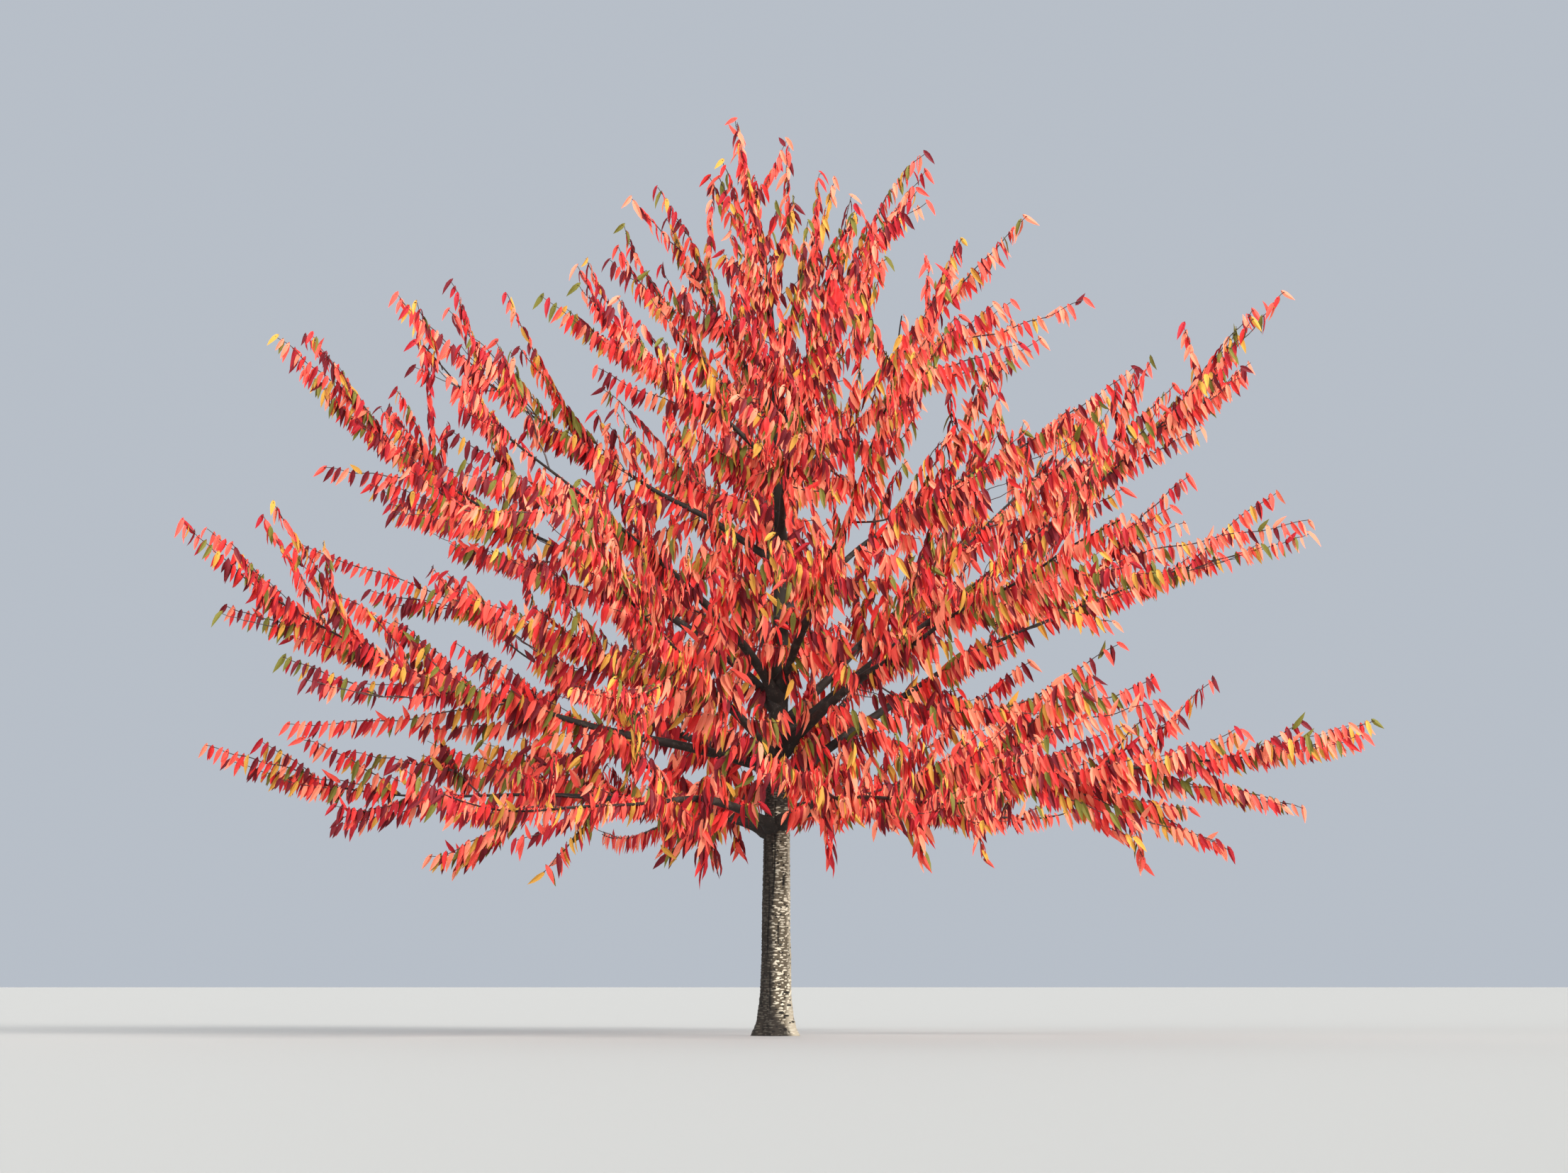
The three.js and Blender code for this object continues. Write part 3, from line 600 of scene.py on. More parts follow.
def finer_twigs(limb, start, spacing, room):
    """Finer twigs along a limb from a parameter on, to both sides in turn, and one straight on."""
    twigs = []
    count = max(1, round(limb.length * (1 - start) / spacing))
    for k in range(1, count + 1):
        t = mix(start, 1, k / count)
        along, across, _ = limb.axes(t)
        side = (1 if k % 2 else -1) * (FINER["aside"] + FINER["aside_variety"] * chance(*limb.keys, k, 4))
        lift = FINER["lift"] + FINER["lift_variety"] * (chance(*limb.keys, k, 6) - 0.5)
        leaving = blend((along, FINER["along"]), (across, side), (UP, lift))
        ending = blend((along, FINER["along"]), (across, side / 2), (UP, lift + FINER["end_lift"]))
        if k == count:
            leaving, ending = along, blend((along, 1), (UP, FINER["end_lift"] / 2))
        half = (FINER["length"] + FINER["variety"] * chance(*limb.keys, k, 5)) / 2
        girth = taper(min(FINER["root"], float(limb.girth(t))), FINER["tip"])
        twigs += fitted_twig(limb.at(t), leaving, ending, half, girth, (*limb.keys, k, 7), room.takes)
    return twigs


def short_shoots(limb, start, end, spacing, room):
    """Short shoots all round a limb between two parameters."""
    shoots = []
    girth = taper(FINER["root"], FINER["tip"])
    count = round(limb.length * (end - start) / spacing)
    for k in range(count):
        t = mix(start, end, (k + SHOOT["stray"] * chance(*limb.keys, k, 50)) / count)
        along, across, over = limb.axes(t)
        roll = math.radians(GOLDEN_TURN * k + 360 * chance(*limb.keys, 51))
        aside = blend((across, math.cos(roll)), (over, math.sin(roll)))
        leaving = blend((along, SHOOT["along"]), (aside, SHOOT["aside"]))
        ending = blend((leaving, 1), (UP, SHOOT["lift"]))
        half = (SHOOT["length"] + SHOOT["variety"] * chance(*limb.keys, k, 52)) / 2
        keys = (*limb.keys, k, 53)
        shoots += fitted_twig(limb.at(t), leaving, ending, half, girth, keys, room.takes, sizes=(1,))
    return shoots


def hanging_twigs(limb, room):
    """Short sparse sprays that hang from a bough of the lowest tier."""
    twigs = []
    girth = taper(FINER["root"], FINER["tip"])
    for k in range(HANGING["count"]):
        t = mix(HANGING["from"], HANGING["to"], (k + chance(*limb.keys, k, 8)) / HANGING["count"])
        along, across, _ = limb.axes(t)
        side = HANGING["aside"] * (2 * chance(*limb.keys, k, 9) - 1)
        half = (HANGING["length"] + HANGING["variety"] * chance(*limb.keys, k, 10)) / 2
        leaving = blend((along, HANGING["out"]), (across, side), (UP, -HANGING["fall"]))
        ending = blend((along, HANGING["out"] / 2), (across, side / 2), (UP, -1))
        keys = (*limb.keys, k, 11)
        twigs += fitted_twig(limb.at(t), leaving, ending, half, girth, keys, room.takes, sizes=(1,))
    return twigs


def long_whips(limbs):
    """The long whips of the front view, each from the limb that is seen nearest to the whip's foot."""
    parameters = np.linspace(0, 1, LINE_SAMPLES * 4 + 1)
    places = np.vstack([limb.line(parameters[parameters >= limb.share]) for limb in limbs])
    seen = seen_at(places)
    whips = []
    for n, (foot_across, foot_up, tip_across, tip_up) in enumerate(WHIPS):
        off = np.linalg.norm(seen - (foot_across, foot_up), axis=1)
        foot = places[np.argmin(off + WHIP["depth_cost"] * np.abs(places[:, 1]))]
        length = math.hypot(tip_across - foot_across, tip_up - foot_up)
        depth = foot[1] + WHIP["depth"] * length * (2 * chance(n, 70) - 1)
        tip = placed_at(tip_across, tip_up, depth)
        bend = (placed_at(foot_across, foot_up, mix(foot[1], depth, WHIP["bend"])) + tip) / 2
        whips.append(Limb(bezier_line(foot, bend, tip), taper(WHIP["root"], WHIP["tip"]), (n, 71)))
    return whips


def grow_tree():
    """All limbs of the tree by kind, each kind a list."""
    limbs = main_limbs()
    room = Room(limbs)
    tree = {"main": limbs, "twigs": [], "finer": [], "shoots": []}
    for own, limb in enumerate(limbs):
        twigs = side_twigs(limb, own, room)
        tree["twigs"] += twigs
        tree["finer"] += finer_twigs(limb, limb.share + STEM["bare"], FINER["stem_spacing"], room)
        for twig in twigs:
            tree["finer"] += finer_twigs(twig, TWIG["bare"], FINER["twig_spacing"], room)
        if limb.keys[0] == 0:
            tree["finer"] += hanging_twigs(limb, room)
        if limb.line is trunk_line:
            start = trunk_parameter(SHOOT["trunk_from"])
            tree["shoots"] += short_shoots(limb, start, limb.share, SHOOT["trunk_spacing"], room)
        else:
            end = limb.share + SHOOT["past"]
            tree["shoots"] += short_shoots(limb, SHOOT["from"], end, SHOOT["spacing"], room)
    tree["whips"] = long_whips(limbs + tree["twigs"])
    return tree, room


GROWTH, ROOM = grow_tree()


def trunk_radius(height, angle):
    """The trunk's radius at a height and an angle, with the root flare's lobes."""
    swell = FLARE["depth"] * np.exp(-height / FLARE["height"])
    lobe = 1 + np.cos(FLARE["lobes"] * angle + math.radians(FLARE["turn"]))
    return on_outline(TRUNK_OUTLINE, height) * (1 + swell * lobe)


def length_setting(name, description, default):
    return bpy.props.FloatProperty(name=name, description=description, default=default, unit="LENGTH")


def number_setting(name, description, default):
    return bpy.props.FloatProperty(name=name, description=description, default=default)


def colour_setting(name, description, default):
    return bpy.props.FloatVectorProperty(
        name=name, description=description, default=default, subtype="COLOR", size=3)


def tint_setting(name, default):
    return colour_setting(name.capitalize(), f"Tint of the {name} leaves", default)


class TrunkSettings(bpy.types.PropertyGroup):
    """The trunk's bark."""

    sides: bpy.props.IntProperty(name="Sides", description="Faces round the trunk", default=104, min=24)
    ring_gap: length_setting("Ring gap", "Distance between rings where the bark is in view", 0.0034)
    ring_gap_above: length_setting("Ring gap above", "Distance between rings up in the crown", 0.017)
    detail_height: length_setting("Detail height", "Height up to which the rings lie close", 1.9)
    unevenness: length_setting("Unevenness", "Depth of the broad swellings", 0.004)
    mark_height: length_setting("Mark height", "How far a pale mark stands out", 0.0024)
    crack_depth: length_setting("Crack depth", "Depth of the upright cracks", 0.007)
    bark: colour_setting("Bark", "Colour of the weathered bark", (0.108, 0.086, 0.058))
    # Painted light: the colour of the pale right side of the trunk, which faces the key light.
    bleached: colour_setting("Bleached bark", "Colour of the bark on the sunny side", (0.40, 0.35, 0.265))
    # Painted shade: the colour of the dark left side of the trunk and of its bark in the crown.
    painted_shade_bark: colour_setting("Old bark", "Colour of the older and shaded bark", (0.024, 0.019, 0.0145))
    pale: colour_setting("Pale marks", "Colour of the pale corky marks", (0.66, 0.59, 0.46))
    dark: colour_setting("Dark marks", "Colour of the dark marks and cracks", (0.010, 0.008, 0.007))


class LimbSettings(bpy.types.PropertyGroup):
    """Boughs and twigs."""

    bough_sides: bpy.props.IntProperty(
        name="Bough sides", description="Faces round a bough", default=14, min=5)
    bough_step: length_setting("Bough step", "Distance between a bough's rings", 0.03)
    twig_sides: bpy.props.IntProperty(name="Twig sides", description="Faces round a twig", default=5, min=3)
    twig_step: length_setting("Twig step", "Distance between a twig's rings", 0.045)
    relief: number_setting("Relief", "Depth of the bark's relief as a share of the radius", 0.22)
    wobble: length_setting("Wobble", "How far a limb strays from its even line", 0.009)
    bark: colour_setting("Bough bark", "Colour of the boughs", (0.019, 0.014, 0.0115))
    bark_light: colour_setting(
        "Worn bough bark", "Colour of the boughs' worn bark and marks", (0.095, 0.078, 0.062))
    young: colour_setting("Twig bark", "Colour of the twigs", (0.045, 0.020, 0.016))


class LeafSettings(bpy.types.PropertyGroup):
    """Leaves and buds."""

    length: length_setting("Length", "Length of a leaf with its stalk", 0.154)
    width: length_setting("Width", "Width of a leaf", 0.039)
    spacing: length_setting("Spacing", "Distance between the buds of a twig", 0.0455)
    rising: bpy.props.FloatProperty(
        name="Rising", description="Share of the leaves that stand above their twig", default=0.04,
        subtype="FACTOR")
    bud: length_setting("Bud", "Length of a bud", 0.015)
    coral: tint_setting("coral", (0.93, 0.098, 0.070))
    salmon: tint_setting("salmon", (0.98, 0.265, 0.155))
    scarlet: tint_setting("scarlet", (0.76, 0.03, 0.028))
    red: tint_setting("red", (0.42, 0.0105, 0.02))
    crimson: tint_setting("crimson", (0.165, 0.0065, 0.0135))
    gold: tint_setting("gold", (0.66, 0.33, 0.05))
    olive: tint_setting("olive", (0.17, 0.155, 0.022))


class StageSettings(bpy.types.PropertyGroup):
    """Floor, light and camera."""

    floor: colour_setting("Floor", "Colour of the floor", (0.36, 0.36, 0.35))
    sky: colour_setting("Surround", "Colour of the light from all around", (0.56, 0.61, 0.68))
    surround: number_setting("Surround strength", "Strength of the light from all around", 0.85)
    key: number_setting("Key light", "Strength of the soft light from the front right", 4.6)
    fill: number_setting("Fill light", "Strength of the soft light from the front left", 2.0)
    back: number_setting("Back light", "Strength of the soft light from behind", 1.6)
    front: number_setting("Front light", "Strength of the very soft light from the front", 1.3)
    distance: length_setting("Distance", "Distance of the camera from the trunk", EYE["distance"])
    eye_height: length_setting("Eye height", "Height of the camera", EYE["height"])
    aim_height: length_setting("Aim height", "Height on the tree of the middle of the view", 2.73)
    aim_side: length_setting("Aim side", "How far right of the trunk the camera stands", EYE["side"])
    view_width: length_setting("View width", "Width of the view at the tree", 9.57)


class Wire:
    """A node's output. Sums, products and the like of wires and numbers add the nodes for them."""

    def __init__(self, nodes, socket):
        self.nodes = nodes
        self.socket = socket

    def joined(self, operation, first, second):
        """The wire of a sum, difference or product. It is a vector if one of the two is."""
        vectors = [isinstance(one, Wire) and one.socket.type == "VECTOR" for one in (first, second)]
        if not any(vectors):
            return self.nodes.add("ShaderNodeMath", {"operation": operation}, Value=first, Value_001=second)
        kind = "ShaderNodeVectorMath"
        if operation == "MULTIPLY" and not all(vectors):
            if vectors[1]:
                first, second = second, first
            return self.nodes.add(kind, {"operation": "SCALE"}, Vector=first, Scale=second)
        return self.nodes.add(kind, {"operation": operation}, Vector=first, Vector_001=second)

    def __add__(self, other):
        return self.joined("ADD", self, other)

    def __radd__(self, other):
        return self.joined("ADD", other, self)

    def __sub__(self, other):
        return self.joined("SUBTRACT", self, other)

    def __rsub__(self, other):
        return self.joined("SUBTRACT", other, self)

    def __mul__(self, other):
        return self.joined("MULTIPLY", self, other)

    def __rmul__(self, other):
        return self.joined("MULTIPLY", other, self)


class Nodes:
    """Adds nodes to a tree, each by one call of add."""

    def __init__(self, tree):
        self.tree = tree

    def add(self, kind, settings=None, output=None, **values):
        """A node of a kind, with its settings and then the values or links of its sockets, by identifier.

        Gives the wire of the output with that identifier, or of the first output."""
        node = self.tree.nodes.new(kind)
        for name, value in (settings or {}).items():
            setattr(node, name, value)
        sockets = {socket.identifier: socket for socket in node.inputs}
        for name, value in values.items():
            socket = sockets[name.replace("__", " ")]
            if isinstance(value, Wire):
                self.tree.links.new(value.socket, socket)
            else:
                socket.default_value = value
        outputs = {socket.identifier: socket for socket in node.outputs}
        return Wire(self, outputs[output] if output else node.outputs[0])

    def mixed(self, first, second, share):
        """Two colours mixed by a share."""
        first, second = (c if isinstance(c, Wire) else (*c, 1) for c in (first, second))
        return self.add("ShaderNodeMix", {"data_type": "RGBA"}, "Result_Color",
                        Factor_Float=share, A_Color=first, B_Color=second)

    def smooth(self, value, low, high):
        """0 under low and 1 over high, with an eased step between."""
        return self.add("ShaderNodeMapRange", {"interpolation_type": "SMOOTHSTEP"},
                        Value=value, From__Min=low, From__Max=high)


def finish_of(name, roughness, coat=0.0, specular=0.5):
    """A new material, the nodes of its tree and its shader. What is even all over is set on the shader."""
    material = bpy.data.materials.new(name)
    material.use_nodes = True
    shader = material.node_tree.nodes["Principled BSDF"]
    shader.inputs["Roughness"].default_value = roughness
    shader.inputs["Coat Weight"].default_value = coat
    shader.inputs["Specular IOR Level"].default_value = specular
    return material, Nodes(material.node_tree), shader


def feed(nodes, wire, shader, name):
    """Links a wire to the shader's input with that name."""
    nodes.tree.links.new(wire.socket, shader.inputs[name])


def place_on_piece(nodes, stretch=(1, 1, 1)):
    """The Object coordinates, stretched."""
    place = nodes.add("ShaderNodeTexCoord", output="Object")
    return nodes.add("ShaderNodeVectorMath", {"operation": "MULTIPLY"}, Vector=place, Vector_001=stretch)


def noise_on_piece(nodes, scale, detail, stretch=(1, 1, 1)):
    """Noise on the stretched Object coordinates."""
    place = place_on_piece(nodes, stretch)
    return nodes.add("ShaderNodeTexNoise", Vector=place, Scale=scale, Detail=detail)


def bump_on_piece(nodes, strength, height):
    """Fine relief of up to 2 mm."""
    return nodes.add("ShaderNodeBump", Strength=strength, Distance=0.002, Height=height)


def times(colour, share):
    """A colour made darker or lighter."""
    return tuple(min(1.0, c * share) for c in colour)


def trunk_bark(settings):
    """Brown bark with pale flecks and dark scars, with painted shade on its left and in the crown and
    painted light on its right.
    """
    material, nodes, shader = finish_of("trunk_bark", 0.82, specular=0.25)
    fleck_field, scar_field, crack, aged, bleached = (
        nodes.add("ShaderNodeAttribute", {"attribute_name": name}, "Fac")
        for name in ("fleck", "scar", "crack", "aged", "bleached")
    )
    broad = noise_on_piece(nodes, 9.0, 4.0, stretch=(1, 1, 0.6))
    bands = noise_on_piece(nodes, 34.0, 5.0, stretch=(1, 1, 6))
    grain = noise_on_piece(nodes, 150.0, 3.0, stretch=(1, 1, 3))
    ragged = noise_on_piece(nodes, 110.0, 2.0, stretch=(1, 1, 2))
    # Painted shade on the left and in the crown. The pale flecks fade in it.
    in_shade = nodes.smooth(aged + (broad - 0.5) * 0.5, 0.1, 0.85)
    fleck = nodes.smooth(fleck_field + (ragged - 0.5) * 0.6, 0.46, 0.56)
    scar = nodes.smooth(scar_field + (ragged - 0.5) * 0.3, 0.46, 0.56)
    shade = nodes.smooth(bands, 0.42, 0.66) * 0.8
    light = nodes.smooth(grain, 0.52, 0.7) * 0.6
    colour = nodes.mixed(settings.bark, times(settings.bark, 0.45), shade)
    colour = nodes.mixed(colour, times(settings.bark, 1.6), light)
    # Painted light on the right side of the trunk.
    colour = nodes.mixed(colour, settings.bleached, bleached * 0.85)
    colour = nodes.mixed(colour, settings.painted_shade_bark, in_shade)
    cream = nodes.mixed(settings.pale, times(settings.pale, 0.62), nodes.smooth(broad, 0.42, 0.6))
    colour = nodes.mixed(colour, cream, fleck * (1 - in_shade * 0.94))
    colour = nodes.mixed(colour, settings.dark, scar * 0.96)
    colour = nodes.mixed(colour, settings.dark, crack)
    feed(nodes, colour, shader, "Base Color")
    feed(nodes, 0.72 + bands * 0.2 - fleck * 0.12, shader, "Roughness")
    feed(nodes, bump_on_piece(nodes, 0.5, bands * 0.6 + grain * 0.4), shader, "Normal")
    return material


def bough_bark(settings):
    """Almost black bark with worn patches and small grey marks."""
    material, nodes, shader = finish_of("bough_bark", 0.75, specular=0.35)
    worn = noise_on_piece(nodes, 22.0, 5.0)
    marks = nodes.add("ShaderNodeTexVoronoi", Vector=place_on_piece(nodes), Scale=70.0)
    dots = (1 - nodes.smooth(marks, 0.16, 0.3)) * nodes.smooth(worn, 0.4, 0.6)
    colour = nodes.mixed(settings.bark, settings.bark_light, nodes.smooth(worn, 0.48, 0.8) * 0.5)
    colour = nodes.mixed(colour, settings.bark_light, dots * 0.7)
    feed(nodes, colour, shader, "Base Color")
    feed(nodes, 0.6 + worn * 0.3, shader, "Roughness")
    feed(nodes, bump_on_piece(nodes, 0.4, worn + dots * 0.3), shader, "Normal")
    return material


def young_bark(name, colour):
    """Smooth dark bark of twigs and buds, a little silvered in patches."""
    material, nodes, shader = finish_of(name, 0.5, coat=0.08, specular=0.45)
    patches = nodes.smooth(noise_on_piece(nodes, 40.0, 3.0), 0.5, 0.75)
    silvered = tuple(mix(c, 0.16, 0.35) for c in colour)
    feed(nodes, nodes.mixed(colour, silvered, patches), shader, "Base Color")
    feed(nodes, 0.45 + patches * 0.3, shader, "Roughness")
    return material


def leaf_finish(tint, colour):
    """A satin leaf of one plain tint, whose gloss varies a little."""
    material, nodes, shader = finish_of(f"leaf_{tint}", 0.6, specular=0.28)
    shader.inputs["Base Color"].default_value = (*colour, 1)
    feed(nodes, 0.5 + noise_on_piece(nodes, 30.0, 2.0) * 0.3, shader, "Roughness")
    return material


def mesh_of(name, points, edges=(), faces=(), vectors=None, numbers=None):
    """A mesh with attributes on its points: vectors and numbers, each a dict of arrays by name."""
    mesh = bpy.data.meshes.new(name)
    mesh.from_pydata(np.asarray(points).tolist(), [tuple(e) for e in edges], [tuple(f) for f in faces])
    for kind, field, arrays in (("FLOAT_VECTOR", "vector", vectors), ("FLOAT", "value", numbers)):
        for key, values in (arrays or {}).items():
            flat = np.asarray(values, np.float32).ravel()
            mesh.attributes.new(key, kind, "POINT").data.foreach_set(field, flat)
    mesh.update()
    return mesh


def linked(name, data):
    """A new object in the scene."""
    made = bpy.data.objects.new(name, data)
    bpy.context.scene.collection.objects.link(made)
    return made


def aimed(lamp_or_camera, place, aim):
    """Puts a lamp or a camera in its place and turns it to what it looks at."""
    lamp_or_camera.location = place
    lamp_or_camera.rotation_euler = (aim - place).to_track_quat("-Z", "Y").to_euler()


def as_piece(name, mesh, nodes):
    """Makes a finished mesh a piece on the tree's one body, in place of the nodes that it stands for."""
    if not mesh.polygons:
        raise RuntimeError(f"{name} has no faces")
    made = linked(name, mesh)
    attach(made, "root")
    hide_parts(*nodes)


WORKING_ATTRIBUTES = {"out", "aside", "level", "hang", "size", "girth"}


def grown(name, base, tree, values):
    """The plain mesh that a geometry tree makes from a base mesh. Only its position is kept."""
    holder = linked(name, base)
    modifier = holder.modifiers.new("growth", "NODES")
    modifier.node_group = tree
    for item in tree.interface.items_tree:
        if item.item_type == "SOCKET" and item.in_out == "INPUT" and item.name in values:
            modifier[item.identifier] = values[item.name]
    evaluated = holder.evaluated_get(bpy.context.evaluated_depsgraph_get())
    mesh = bpy.data.meshes.new_from_object(evaluated)
    holder.modifiers.remove(modifier)
    bpy.data.objects.remove(holder)
    mesh.name = name
    for key in [a.name for a in mesh.attributes if a.name in WORKING_ATTRIBUTES]:
        mesh.attributes.remove(mesh.attributes[key])
    return mesh


def growth_tree(name, inputs):
    """A geometry tree with its geometry input and output and the named inputs, as (nodes, wires)."""
    tree = bpy.data.node_groups.new(name, "GeometryNodeTree")
    tree.interface.new_socket("Geometry", in_out="INPUT", socket_type="NodeSocketGeometry")
    tree.interface.new_socket("Geometry", in_out="OUTPUT", socket_type="NodeSocketGeometry")
    for key, (kind, value) in inputs.items():
        socket = tree.interface.new_socket(key, in_out="INPUT", socket_type=f"NodeSocket{kind}")
        if value is not None:
            socket.default_value = value
    nodes = Nodes(tree)
    entry = tree.nodes.new("NodeGroupInput")
    return nodes, {socket.name: Wire(nodes, socket) for socket in entry.outputs if socket.name}


def close_tree(nodes, geometry, material):
    """Ends a tree in Realize Instances and Set Material."""
    real = nodes.add("GeometryNodeRealizeInstances", Geometry=geometry)
    done = nodes.add("GeometryNodeSetMaterial", Geometry=real, Material=material)
    exit_node = nodes.tree.nodes.new("NodeGroupOutput")
    nodes.tree.links.new(done.socket, exit_node.inputs[0])
    return nodes.tree


# How fine the relief of boughs and twigs is, as the noise's scale.
GRAIN = {"boughs": 24.0, "twigs": 60.0}


def tube_tree():
    """Tubes along poly-lines, whose girth attribute is the radius, with relief as a share of it."""
    nodes, given = growth_tree("limb_tubes", {
        "Sides": ("Int", 6), "Relief": ("Float", 0.0), "Relief Scale": ("Float", 20.0),
        "Material": ("Material", None),
    })
    girth = nodes.add("GeometryNodeInputNamedAttribute", {"data_type": "FLOAT"}, Name="girth")
    curve = nodes.add("GeometryNodeMeshToCurve", Mesh=given["Geometry"])
    ring = nodes.add("GeometryNodeCurvePrimitiveCircle", Resolution=given["Sides"], Radius=1.0)
    tube = nodes.add("GeometryNodeCurveToMesh", Curve=curve, Profile__Curve=ring, Scale=girth,
                     Fill__Caps=True)
    place = nodes.add("GeometryNodeInputPosition")
    rough = nodes.add("ShaderNodeTexNoise", Vector=place, Scale=given["Relief Scale"], Detail=3.0)
    outwards = nodes.add("GeometryNodeInputNormal")
    depth = (rough - 0.5) * given["Relief"] * girth
    tube = nodes.add("GeometryNodeSetPosition", Geometry=tube, Offset=outwards * depth)
    tube = nodes.add("GeometryNodeSetShadeSmooth", Geometry=tube, Shade__Smooth=True)
    return close_tree(nodes, tube, given["Material"])


def spray_tree():
    """A leaf or bud at each point, which leans out and aside and hangs as the point's attributes say."""
    nodes, given = growth_tree("leaf_sprays", {
        "Blade": ("Object", None), "Length": ("Float", 0.138), "Width": ("Float", 0.046),
        "Size Variety": ("Float", 0.16), "Outward": ("Float", 0.42), "Outward Variety": ("Float", 0.26),
        "Sideways": ("Float", 0.16), "Sideways Variety": ("Float", 0.2), "Hang": ("Float", 1.0),
        "Turn": ("Float", 0.8), "Steep Sideways": ("Float", 1.5), "Steep Turn": ("Float", 2.0),
        "Width By Size": ("Float", 0.55), "Seed": ("Int", 5), "Material": ("Material", None),
    })

    def kept(name, kind):
        return nodes.add("GeometryNodeInputNamedAttribute", {"data_type": kind}, Name=name)

    def varied(offset, spread):
        """A random number for each point, from minus spread to plus spread."""
        return nodes.add("FunctionNodeRandomValue", {"data_type": "FLOAT"}, "Value_001",
                         Min_001=-1.0, Max_001=1.0, Seed=given["Seed"] + offset) * spread

    out, aside, level = kept("out", "FLOAT_VECTOR"), kept("aside", "FLOAT_VECTOR"), kept("level", "FLOAT")
    steep = 1 - level
    outward = (given["Outward"] + varied(1, given["Outward Variety"])) * level
    spread = 1 + steep * given["Steep Sideways"]
    sideways = (given["Sideways"] + varied(2, given["Sideways Variety"])) * spread
    down = nodes.add("ShaderNodeCombineXYZ", Z=kept("hang", "FLOAT") * given["Hang"] * -1)
    direction = out * outward + aside * sideways + down
    face = aside + out * varied(3, given["Turn"] * (1 + steep * given["Steep Turn"]))
    rotation = nodes.add("FunctionNodeAxesToRotation", {"primary_axis": "X", "secondary_axis": "Z"},
                         Primary__Axis=direction, Secondary__Axis=face)
    size = kept("size", "FLOAT") * (1 + varied(4, given["Size Variety"]))
    length = size * given["Length"]
    width = (size * given["Width By Size"] + (1 - given["Width By Size"])) * given["Width"]
    scale = nodes.add("ShaderNodeCombineXYZ", X=length, Y=width, Z=length)
    blade = nodes.add("GeometryNodeObjectInfo", output="Geometry", Object=given["Blade"])
    leaves = nodes.add("GeometryNodeInstanceOnPoints", Points=given["Geometry"], Instance=blade,
                       Rotation=rotation, Scale=scale)
    return close_tree(nodes, leaves, given["Material"])


# A leaf hangs from a short stalk that rises from the bud and bends over at the neck, whose four corners
# come first. The blade's stations: place along it, half its width, and how far its edges stand above
# the midrib.
LEAF_NECK = ((-0.165, 0.05, 0.055), (-0.185, 0, 0.065), (-0.165, -0.05, 0.055), (-0.148, 0, 0.045))
LEAF_STATIONS = ((-0.03, 0.35, 0.035), (0.24, 0.5, 0.055), (0.57, 0.33, 0.04))
LEAF_TIP = 0.88
LEAF_ARCH = {"top": 0.07, "middle": -0.06, "bend": 0.17}
LEAF_THICKNESS = 0.014
# A tint with more leaves than this is made as two or more pieces. Each piece has its own seed, this far
# from the last one's.
LEAVES_IN_PIECE = 6000
SEEDS_A_PIECE = 10


def arch(place):
    """How high the midrib stands at a place along the blade."""
    return LEAF_ARCH["top"] - LEAF_ARCH["bend"] * (place - LEAF_ARCH["middle"]) ** 2


def leaf_blade():
    """A closed leaf of unit length and width, its stalk's foot at the origin and its face towards +Z."""
    points = [(0, 0, 0), *LEAF_NECK]
    for place, half, fold in LEAF_STATIONS:
        middle = arch(place)
        points += [(place, half, middle + fold), (place, 0, middle), (place, -half, middle + fold),
                   (place, 0, middle - LEAF_THICKNESS)]
    points.append((LEAF_TIP, 0, arch(LEAF_TIP)))
    tip = len(points) - 1
    faces = []
    for corner in range(4):
        after = (corner + 1) % 4
        faces.append((0, 1 + after, 1 + corner))
        for station in range(len(LEAF_STATIONS)):
            near, far = 1 + 4 * station, 5 + 4 * station
            faces.append((near + corner, near + after, far + after, far + corner))
        faces.append((tip, tip - 4 + corner, tip - 4 + after))
    mesh = mesh_of("leaf_blade", points, faces=faces)
    crease_edges(mesh)
    return mesh


def crease_edges(mesh):
    """Smooth faces along the blade, with sharp lines at its rim and its midrib."""
    mesh.polygons.foreach_set("use_smooth", [True] * len(mesh.polygons))
    sharp = mesh.attributes.new("sharp_edge", "BOOLEAN", "EDGE")
    columns = [0, *((v - 1) % 4 + 1 for v in range(1, len(mesh.vertices) - 1)), 0]
    ends = [(columns[edge.vertices[0]], columns[edge.vertices[1]]) for edge in mesh.edges]
    sharp.data.foreach_set("value", [near == far or 0 in (near, far) for near, far in ends])


def bud_drop():
    """A closed pointed bud of unit length and width, its foot at the origin."""
    angles = [corner * math.pi / 2 for corner in range(4)]
    ring = [(BUD["widest"], 0.5 * math.cos(angle), 0.5 * math.sin(angle)) for angle in angles]
    points = [(0, 0, 0), *ring, (1, 0, 0)]
    faces = []
    for corner in range(4):
        after = (corner + 1) % 4
        faces += [(0, 1 + after, 1 + corner), (5, 1 + corner, 1 + after)]
    return mesh_of("bud_drop", points, faces=faces)


def strayed(limb, count, wobble):
    """Points along a limb that stray a little from its even line, but not at its foot."""
    t = np.linspace(limb.drawn_from, 1, count)
    points = limb.line(t)
    _, across, over = limb.axes(0.5)
    ease = np.minimum(1, STRAY["ease"] * (t - limb.drawn_from))[:, None] * wobble * min(1.0, limb.length)
    for k, direction in enumerate((across, over)):
        waves = mix(*STRAY["waves"], chance(*limb.keys, 20 + k))
        wave = np.sin(2 * math.pi * (waves * t + chance(*limb.keys, 22 + k)))
        points = points + ease * wave[:, None] * direction
    return t, points


